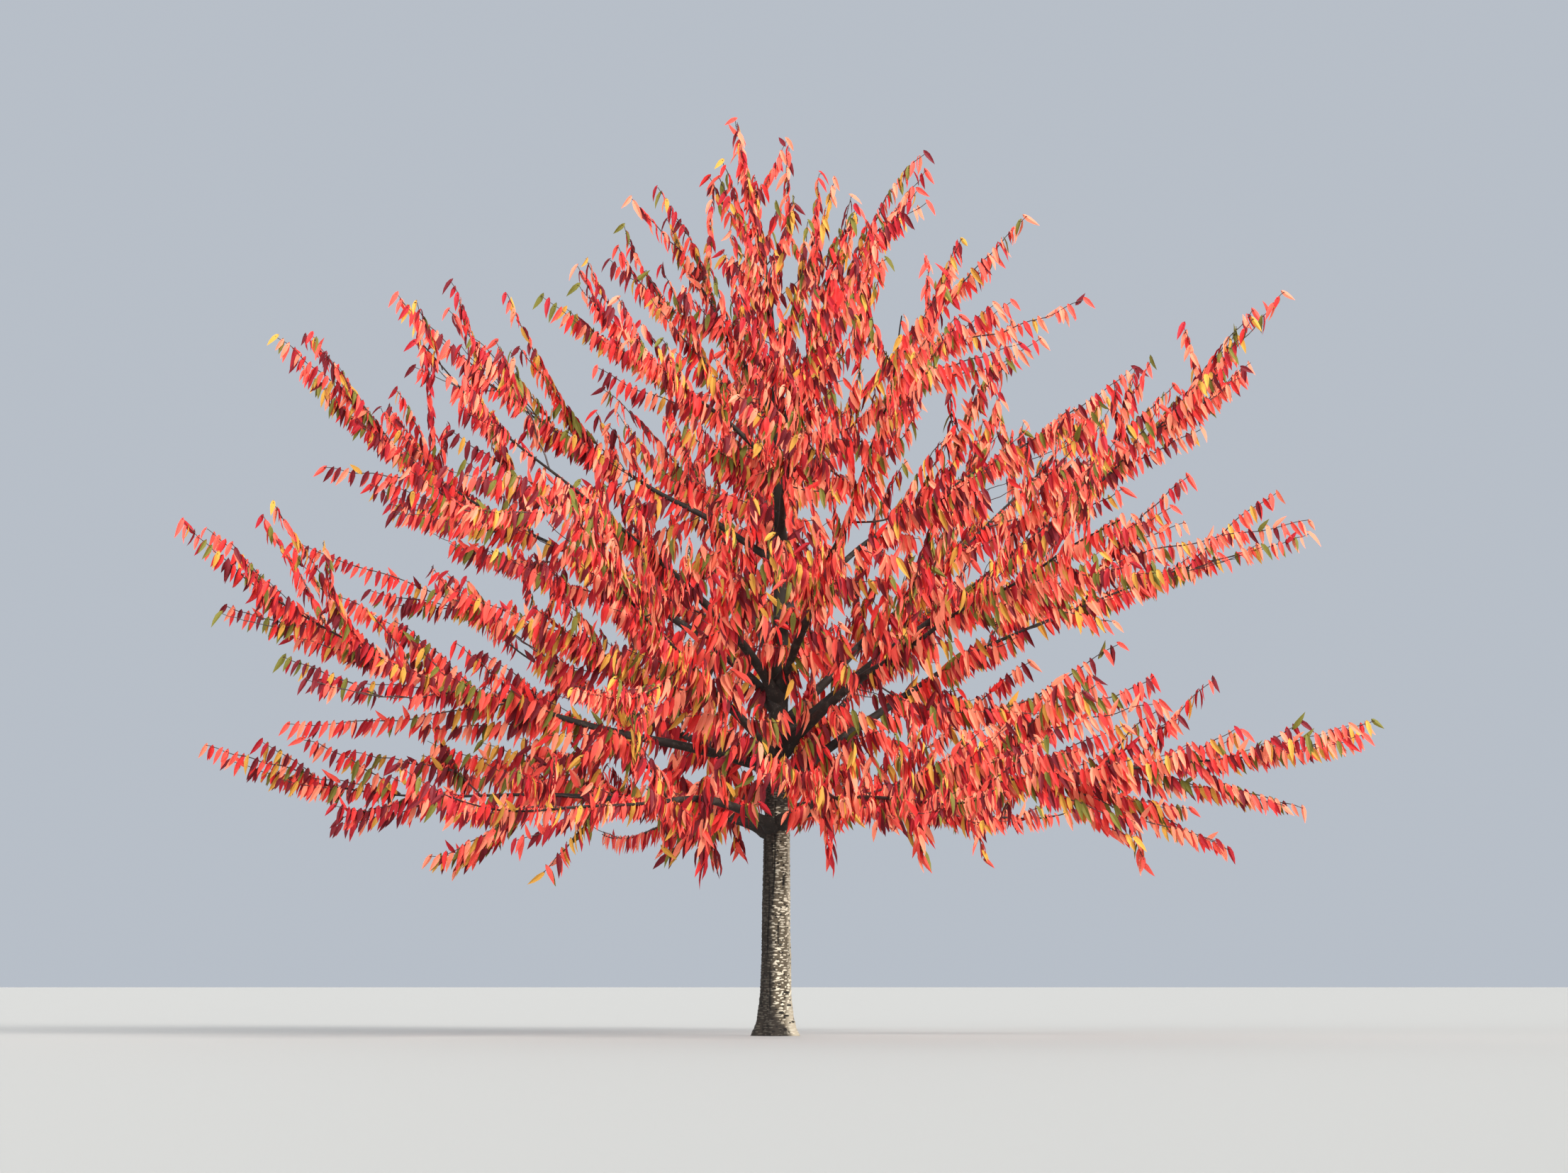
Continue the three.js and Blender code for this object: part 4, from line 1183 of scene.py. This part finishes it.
def tube_lines(name, limbs, step, wobble, collars=False):
    """The poly-lines of some limbs as one mesh, with the radius at each point."""
    points, edges, girths = [], [], []
    total = 0
    for limb in limbs:
        count = max(4, round(limb.length * (1 - limb.drawn_from) / step) + 1)
        t, line = strayed(limb, count, wobble)
        girth = np.asarray(limb.girth(t), float)
        if collars:
            girth = girth * (1 + collar(limb, t)) * slender(limb, t)
        points.append(line)
        girths.append(girth)
        edges += [(total + k, total + k + 1) for k in range(count - 1)]
        total += count
    return mesh_of(name, np.vstack(points), edges=edges, numbers={"girth": np.concatenate(girths)})


def slender(limb, t):
    """How much thinner a limb is drawn where it has grown on past its bough."""
    if limb.line is trunk_line:
        return 1 + 0 * t
    past = np.clip((t - limb.share) / STEM["over"], 0, 1)
    return mix(1, STEM["slender"], past * past * (3 - 2 * past))


def collar(limb, t):
    """How much a bough swells where it leaves the trunk."""
    if limb.line is trunk_line:
        return 0 * t
    foot = limb.at(0)
    out = t * limb.length
    rise = limb.axes(0)[0][2]
    surface = on_outline(TRUNK_OUTLINE, foot[2]) / math.sqrt(max(COLLAR["least_level"], 1 - rise * rise))
    return COLLAR["swell"] * np.exp(-np.maximum(0, out - surface) / COLLAR["reach"])


def bark_marks(settings, heights, angles):
    """The trunk's flecks, scars and cracks, each as a grid of 0 to 1, ring by ring.

    A fleck's or a scar's outline is where its grid passes a half."""
    fleck, scar, crack = (np.zeros((len(heights), len(angles))) for _ in range(3))
    scatter_marks(fleck, FLECK, settings, heights, angles, 30)
    scatter_marks(scar, SCAR, settings, heights, angles, 36)
    for degrees, height, half_width, half_height in FOOT_DASHES:
        add_mark(scar, heights, angles, math.radians(degrees), height, half_width, half_height)
    for n in range(SHORT_CRACKS["count"]):
        low = mix(0.0, settings.detail_height, chance(n, 41))
        high = low + mix(*SHORT_CRACKS["length"], chance(n, 42))
        half_width = mix(*SHORT_CRACKS["half_width"], chance(n, 43))
        cut_crack(crack, heights, angles, 2 * math.pi * chance(n, 40), low, high, half_width, n)
    for n, (degrees, low, high) in enumerate(LONG_CRACKS, SHORT_CRACKS["count"]):
        cut_crack(crack, heights, angles, math.radians(degrees), low, high, LONG_CRACK_HALF_WIDTH, n)
    return fleck, scar, crack


def scatter_marks(grid, kind, settings, heights, angles, key):
    """Adds marks of one kind all round the trunk, in uneven rows from the foot up."""
    row = MARKS_FROM
    k = 0
    while row < MARKS_END:
        radius = float(on_outline(TRUNK_OUTLINE, row))
        in_row = max(2, round(2 * math.pi * radius / kind["apart"]))
        for n in range(in_row):
            k += 1
            angle = 2 * math.pi * (n + chance(k, key)) / in_row
            height = row + kind["stray"] * (chance(k, key + 1) - 0.5)
            half_width = mix(*kind["half_width"], chance(k, key + 2)) * min(1, radius / FULL_RADIUS)
            half_height = mix(*kind["half_height"], chance(k, key + 3))
            if chance(k, key + 4) < kind["kept"]:
                add_mark(grid, heights, angles, angle, height, half_width, half_height)
        row += kind["row"] if row < settings.detail_height else kind["row_above"]


def add_mark(grid, heights, angles, angle, height, half_width, half_height):
    """Adds one mark, 1 at its middle, a half at its outline and 0 at twice its size."""
    radius = float(on_outline(TRUNK_OUTLINE, height))
    near = slice(*np.searchsorted(heights, (height - 2 * half_height, height + 2 * half_height)))
    across = np.abs(turned(angles, angle) * radius) / half_width
    up = np.abs(heights[near] - height) / half_height
    field = 1 - 0.5 * np.sqrt(across[None, :] ** MARK_SQUARENESS + up[:, None] ** 2)
    grid[near] = np.maximum(grid[near], np.clip(field, 0, 1))


def cut_crack(crack, heights, angles, angle, low, high, half_width, seed):
    """Adds one upright crack that wanders a little and thins to both ends."""
    near = slice(*np.searchsorted(heights, (low, high)))
    up = heights[near]
    if len(up) < 3:
        return
    radius = on_outline(TRUNK_OUTLINE, up)
    stray = sum(
        by * noise_at(np.array([(seed * CRACKS_APART, place, waves * z) for z in up]))
        for by, waves, place in CRACK_WAVES
    )
    width = half_width * np.sin(math.pi * (up - low) / (high - low)) ** 0.5
    off = np.abs(turned(angles[None, :], angle) * radius[:, None] + stray[:, None])
    crack[near] = np.maximum(crack[near], np.clip(1.5 - off / width[:, None].clip(1e-4), 0, 1))


def stand_out(field):
    """How far a mark stands out: not at all outside its outline, and in full well inside."""
    return np.clip(4 * field - 1.5, 0, 1)


def trunk_mesh(settings):
    """The trunk with its bark's relief: rings on its line, displaced, with the marks as attributes."""
    close = np.arange(0, settings.detail_height, settings.ring_gap)
    wide = np.arange(settings.detail_height, LEADER_END, settings.ring_gap_above)
    heights = np.concatenate([close, wide, [LEADER_END]])
    centres = trunk_line(np.interp(heights, TRUNK_HEIGHTS, TRUNK_PARAMETERS))
    angles = np.arange(settings.sides) * 2 * math.pi / settings.sides
    fleck, scar, crack = bark_marks(settings, heights, angles)
    radius = trunk_radius(heights[:, None], angles[None, :])
    outwards = np.stack([np.sin(angles), -np.cos(angles), 0 * angles], axis=1)
    flat = (centres[:, None] + outwards[None] * radius[..., None]).reshape(-1, 3)
    fine = np.clip(radius / FULL_RADIUS, LEAST_RELIEF, 1).ravel()
    foot = np.exp(-flat[:, 2] / TOES["height"])
    depth = settings.unevenness * fine * noise_at(flat, BROAD_WAVES)
    depth = depth + BANDS["depth"] * fine * noise_at(flat, BANDS["waves"])
    depth = depth + TOES["depth"] * foot * noise_at(flat, TOES["waves"])
    depth = depth + settings.mark_height * (stand_out(fleck) - SCAR_DEPTH * stand_out(scar)).ravel()
    depth = depth - settings.crack_depth * crack.ravel() * fine
    points = flat + np.tile(outwards, (len(heights), 1)) * depth[:, None]
    points[: settings.sides, 2] = 0
    # Painted shade on the left and in the crown, and painted light on the right.
    aged, bleached = painted_light_and_shade(flat, angles)
    ends = np.vstack([[0, 0, 0], centres[-1]])
    numbers = {"fleck": fleck, "scar": scar, "crack": crack, "aged": aged, "bleached": bleached}
    numbers = {key: np.concatenate([value.ravel(), [0, 1]]) for key, value in numbers.items()}
    mesh = mesh_of("trunk_with_bark", np.vstack([points, ends]),
                   faces=ring_faces(len(heights), settings.sides), numbers=numbers)
    mesh.polygons.foreach_set("use_smooth", [True] * len(mesh.polygons))
    return mesh


def painted_light_and_shade(flat, angles):
    """How much painted shade and how much painted light the bark takes at each point, from 0 to 1."""
    height = flat[:, 2]
    edge = sum(share * noise_at(flat, waves) for waves, share in EDGE_WAVES)

    def on_side(side):
        off = np.degrees(np.abs(turned(angles, math.radians(side["middle"]))))
        off = np.tile(off, len(flat) // len(angles))
        reach = side["reach"] + side["more"] * np.exp(-((height / side["height"]) ** 2))
        return np.clip((reach - off) / side["fade"] + side["uneven"] * edge, 0, 1)

    # In the crown: partly painted shade under the leaves, partly the darker bark of the boughs.
    in_crown = np.clip((height - DARK_IN_CROWN["from"]) / DARK_IN_CROWN["over"] + edge, 0, 1)
    return np.maximum(on_side(PAINTED_SHADE_SIDE), in_crown), on_side(PAINTED_LIGHT_SIDE) * (1 - in_crown)


def ring_faces(rings, sides):
    """Quads between the rings, and triangles to the two end points that follow them."""
    low_end, high_end = rings * sides, rings * sides + 1
    last = (rings - 1) * sides
    faces = []
    for k in range(sides):
        after = (k + 1) % sides
        faces += [(r * sides + k, r * sides + after, (r + 1) * sides + after, (r + 1) * sides + k)
                  for r in range(rings - 1)]
        faces += [(low_end, after, k), (high_end, last + k, last + after)]
    return faces


class LeafPlace(NamedTuple):
    """Where one leaf grows, the directions out and aside of it, and how its twig and stalk hold it."""

    limb: Limb
    place: np.ndarray
    out: np.ndarray
    aside: np.ndarray
    level: float
    hang: float
    size: float
    bud: int
    side: int


def leaves_along(limb, start, settings):
    """The places of a limb's leaves: two at each bud, some single near the tip, and one at the tip."""
    leaves = []
    count = max(2, round(limb.length * (1 - start) / settings.spacing))
    for k in range(count + 1):
        share = (k + BUDS["stray"] * (chance(*limb.keys, k, 12) - 0.5)) / count
        share = min(1.0, max(0.0, share))
        last = k == count
        t = 1.0 if last else mix(start, 1, share * mix(BUDS["closer"], 1, share))
        along, across, _ = limb.axes(t)
        level = 1.0 if last else min(1, LEVEL_GAIN * math.hypot(along[0], along[1]))
        turn = math.radians(GOLDEN_TURN * k) * (1 - level)
        ahead = np.cross(UP, across)
        out = ahead * math.cos(turn) - across * math.sin(turn)
        single = share > BUDS["single_from"] and chance(*limb.keys, k, 13) < BUDS["single"]
        for side in ((1 if k % 2 else -1),) if last or single else (1, -1):
            risen = chance(*limb.keys, k, side + 14) < settings.rising
            hang = HANG["risen"] if risen else HANG["down"]
            if last:
                hang = mix(*HANG["tip"], chance(*limb.keys, k, 14))
            size = mix(*LEAF_SIZES, chance(*limb.keys, k, side + 17)) * mix(1, OUTER["at_tip"], share)
            size *= outer_size(limb.at(t))
            aside = (across * math.cos(turn) + ahead * math.sin(turn)) * side
            leaves.append(LeafPlace(limb, limb.at(t), out, aside, level, hang, size, k, side))
    return leaves


def outer_size(place):
    """How much smaller a leaf is than near the fork."""
    away = float(np.linalg.norm(place - FORK))
    share = (away - OUTER["from"]) / (OUTER["to"] - OUTER["from"])
    return mix(1, OUTER["size"], min(1.0, max(0.0, share)))


def all_leaves(settings):
    """Every leaf's place on the tree, above the crown's foot and clear of the trunk and the gaps.

    Only a whip's leaves hang lower or in a gap, and a share of those on the main limbs that cross one."""
    starts = {"twigs": TWIG["bare"], "finer": FINER["bare"], "shoots": SHOOT["bare"], "whips": WHIP["bare"]}
    carried = [(limb, limb.share + STEM["bare"]) for limb in GROWTH["main"]]
    carried += [(limb, start) for kind, start in starts.items() for limb in GROWTH[kind]]
    leaves = [leaf for limb, start in carried for leaf in leaves_along(limb, start, settings)]
    places = np.array([leaf.place for leaf in leaves])
    out = np.hypot(places[:, 0], places[:, 1])
    whip_keys = {limb.keys for limb in GROWTH["whips"]}
    main_keys = {limb.keys for limb in GROWTH["main"]}
    on_whip = np.array([leaf.limb.keys in whip_keys for leaf in leaves])
    crossing = np.array([
        leaf.limb.keys in main_keys and leaf.place[2] > CROSSING["from"]
        and chance(*leaf.limb.keys, leaf.bud, 27) < CROSSING["kept"] for leaf in leaves
    ])
    in_sky = in_gap(places - UP * LEAF_DROP) | in_gap(places - UP * LOW_LEAF_DROP)
    keep = (places[:, 2] > on_outline(CROWN_FOOT, out)) & (crossing | ~in_sky)
    keep = (keep | on_whip) & ROOM.off_trunk(places)
    return [leaf for leaf, kept in zip(leaves, keep) if kept]


def tint_of(leaf):
    """The tint of one leaf, drawn from the shares at its place in the crown and its twig's leaning."""
    lean = chance(*leaf.limb.keys, 24)
    family, _, more = next(entry for entry in LEANINGS if lean < entry[1])
    # Paler tints towards the right and deeper ones towards the left: painted light and painted shade.
    rightness = np.clip(0.5 + 0.5 * leaf.place[0] / TINT_SIDE, 0, 1)
    weights = [
        mix(tint["left"], tint["right"], rightness) * (more if tint["family"] == family else 1)
        for tint in TINTS.values()
    ]
    pick = chance(*leaf.limb.keys, leaf.bud, leaf.side + 26) * sum(weights)
    for name, weight in zip(TINTS, weights):
        pick -= weight
        if pick < 0:
            return name
    return name


def spray_points(name, leaves):
    """A mesh of one point for each leaf, with what the spray tree reads from it."""

    def columns(*keys):
        return {key: np.array([getattr(leaf, key) for leaf in leaves]) for key in keys}

    places = [leaf.place for leaf in leaves]
    return mesh_of(name, places, vectors=columns("out", "aside"), numbers=columns("level", "hang", "size"))


class MakeTrunk(bpy.types.Operator):
    """Make the trunk with its bark's relief"""

    bl_idname = "cherry_tree.make_trunk"
    bl_label = "Make Trunk"

    def execute(self, context):
        settings = context.scene.cherry_trunk
        mesh = trunk_mesh(settings)
        mesh.materials.append(trunk_bark(settings))
        as_piece("trunk_with_bark", mesh, ["trunk"])
        return {"FINISHED"}


class MakeBoughs(bpy.types.Operator):
    """Make the boughs, each one tapering limb with the stem that goes on from it"""

    bl_idname = "cherry_tree.make_boughs"
    bl_label = "Make Boughs"

    def execute(self, context):
        settings = context.scene.cherry_limbs
        lines = tube_lines("boughs", GROWTH["main"], settings.bough_step, settings.wobble, collars=True)
        mesh = grown("boughs_and_stems", lines, tube_tree(), {
            "Sides": settings.bough_sides, "Relief": settings.relief, "Relief Scale": GRAIN["boughs"],
            "Material": bough_bark(settings),
        })
        as_piece("boughs_and_stems", mesh, BOUGH_NODES)
        return {"FINISHED"}


class MakeTwigs(bpy.types.Operator):
    """Make the side twigs and the finer twigs"""

    bl_idname = "cherry_tree.make_twigs"
    bl_label = "Make Twigs"

    def execute(self, context):
        settings = context.scene.cherry_limbs
        finish = young_bark("twig_bark", settings.young)
        finer = GROWTH["finer"] + GROWTH["shoots"] + GROWTH["whips"]
        for name, limbs in (("side_twigs", GROWTH["twigs"]), ("finer_twigs", finer)):
            lines = tube_lines(name, limbs, settings.twig_step, settings.wobble)
            mesh = grown(name, lines, tube_tree(), {
                "Sides": settings.twig_sides, "Relief": settings.relief, "Relief Scale": GRAIN["twigs"],
                "Material": finish,
            })
            as_piece(name, mesh, FOLIAGE_NODES)
        return {"FINISHED"}


class MakeLeaves(bpy.types.Operator):
    """Make the leaves, one piece for each tint, and the buds that they grow from"""

    bl_idname = "cherry_tree.make_leaves"
    bl_label = "Make Leaves"

    def execute(self, context):
        settings = context.scene.cherry_leaves
        leaves = all_leaves(settings)
        blade = linked("leaf_blade", leaf_blade())
        drop = linked("bud_drop", bud_drop())
        tree = spray_tree()
        by_tint = {name: [] for name in TINTS}
        for leaf in leaves:
            by_tint[tint_of(leaf)].append(leaf)
        made = 0
        for tint, chosen in by_tint.items():
            finish = leaf_finish(tint, getattr(settings, tint))
            pieces = math.ceil(len(chosen) / LEAVES_IN_PIECE)
            for part in range(pieces):
                name = f"leaves_{tint}_{part + 1}" if pieces > 1 else f"leaves_{tint}"
                made += 1
                mesh = grown(name, spray_points(name, chosen[part::pieces]), tree, {
                    "Blade": blade, "Length": settings.length, "Width": settings.width,
                    "Seed": SEEDS_A_PIECE * made, "Material": finish,
                })
                as_piece(name, mesh, FOLIAGE_NODES)
        one_a_bud = {(leaf.limb.keys, leaf.bud): leaf for leaf in leaves}
        buds = [leaf._replace(hang=BUD["hang"], size=1.0) for leaf in one_a_bud.values()]
        mesh = grown("buds", spray_points("buds", buds), tree, {
            "Blade": drop, "Length": settings.bud, "Width": settings.bud * BUD["slim"], "Seed": BUD["seed"],
            "Sideways": BUD["sideways"],
            "Material": young_bark("bud_bark", context.scene.cherry_limbs.young),
        })
        as_piece("buds", mesh, FOLIAGE_NODES)
        for helper in (blade, drop):
            bpy.data.objects.remove(helper)
        return {"FINISHED"}


# The soft lights: where each comes from, the angle that it fills, and its colour. They aim at the crown.
LIGHTS = {
    "key": ((11, -12, 13), 25, (1.0, 0.96, 0.9)),
    "fill": ((-12, -13, 7), 70, (0.96, 0.98, 1.0)),
    "front": ((1, -16, 5), 110, (1.0, 0.99, 0.97)),
    "back": ((-3, 14, 10), 60, (1.0, 0.98, 0.95)),
}
LIGHTS_AIM = (0, 0, 2.8)
FLOOR_HALF = 300.0
VIEW_END = 900


class MakeStage(bpy.types.Operator):
    """Make the floor, the soft light and the camera"""

    bl_idname = "cherry_tree.make_stage"
    bl_label = "Make Stage"

    def execute(self, context):
        settings = context.scene.cherry_stage
        corners = [(FLOOR_HALF * x, FLOOR_HALF * y, 0) for x, y in ((-1, -1), (1, -1), (1, 1), (-1, 1))]
        mesh = mesh_of("floor", corners, faces=[(0, 1, 2, 3)])
        material, _, shader = finish_of("floor", 0.9, specular=0.2)
        shader.inputs["Base Color"].default_value = (*settings.floor, 1)
        mesh.materials.append(material)
        linked("floor", mesh)
        world = bpy.data.worlds.new("surround")
        world.use_nodes = True
        background = world.node_tree.nodes["Background"]
        background.inputs["Color"].default_value = (*settings.sky, 1)
        background.inputs["Strength"].default_value = settings.surround
        context.scene.world = world
        for name, (place, width, colour) in LIGHTS.items():
            self.light(name, place, getattr(settings, name), width, colour)
        self.camera(settings)
        context.scene.view_settings.view_transform = "Standard"
        return {"FINISHED"}

    def light(self, name, place, strength, width, colour):
        """Soft light from a side, as even over the floor as over the tree. Its width is an angle."""
        data = bpy.data.lights.new(name, "SUN")
        data.angle = math.radians(width)
        data.energy = strength
        data.color = colour
        aimed(linked(name, data), Vector(place), Vector(LIGHTS_AIM))

    def camera(self, settings):
        """The camera, with the lens that makes the view at the tree as wide as the settings say."""
        data = bpy.data.cameras.new("camera")
        place = Vector((settings.aim_side, -settings.distance, settings.eye_height))
        aim = Vector((settings.aim_side, 0, settings.aim_height))
        data.lens = data.sensor_width * (aim - place).length / settings.view_width
        data.clip_end = VIEW_END
        made = linked("camera", data)
        aimed(made, place, aim)
        bpy.context.scene.camera = made


class TreePanel(bpy.types.Panel):
    """The tree's pieces and their settings"""

    bl_idname = "CHERRY_TREE_PT_pieces"
    bl_label = "Cherry Tree"
    bl_space_type = "VIEW_3D"
    bl_region_type = "UI"
    bl_category = "Tree"

    def draw(self, context):
        for operator in OPERATORS:
            self.layout.operator(operator.bl_idname)
        for name in SETTINGS:
            group = getattr(context.scene, name)
            box = self.layout.box()
            for key in group.bl_rna.properties.keys():
                if key not in ("rna_type", "name"):
                    box.prop(group, key)


SETTINGS = {
    "cherry_trunk": TrunkSettings, "cherry_limbs": LimbSettings, "cherry_leaves": LeafSettings,
    "cherry_stage": StageSettings,
}
OPERATORS = (MakeTrunk, MakeBoughs, MakeTwigs, MakeLeaves, MakeStage)


def register():
    for made in (*SETTINGS.values(), *OPERATORS, TreePanel):
        bpy.utils.register_class(made)
    for name, group in SETTINGS.items():
        setattr(bpy.types.Scene, name, bpy.props.PointerProperty(type=group))


def unregister():
    for name in SETTINGS:
        delattr(bpy.types.Scene, name)
    for made in reversed((*SETTINGS.values(), *OPERATORS, TreePanel)):
        bpy.utils.unregister_class(made)


def main():
    register()
    bpy.ops.cherry_tree.make_trunk()
    bpy.ops.cherry_tree.make_boughs()
    bpy.ops.cherry_tree.make_twigs()
    bpy.ops.cherry_tree.make_leaves()
    bpy.ops.cherry_tree.make_stage()


if __name__ == "__main__":
    main()
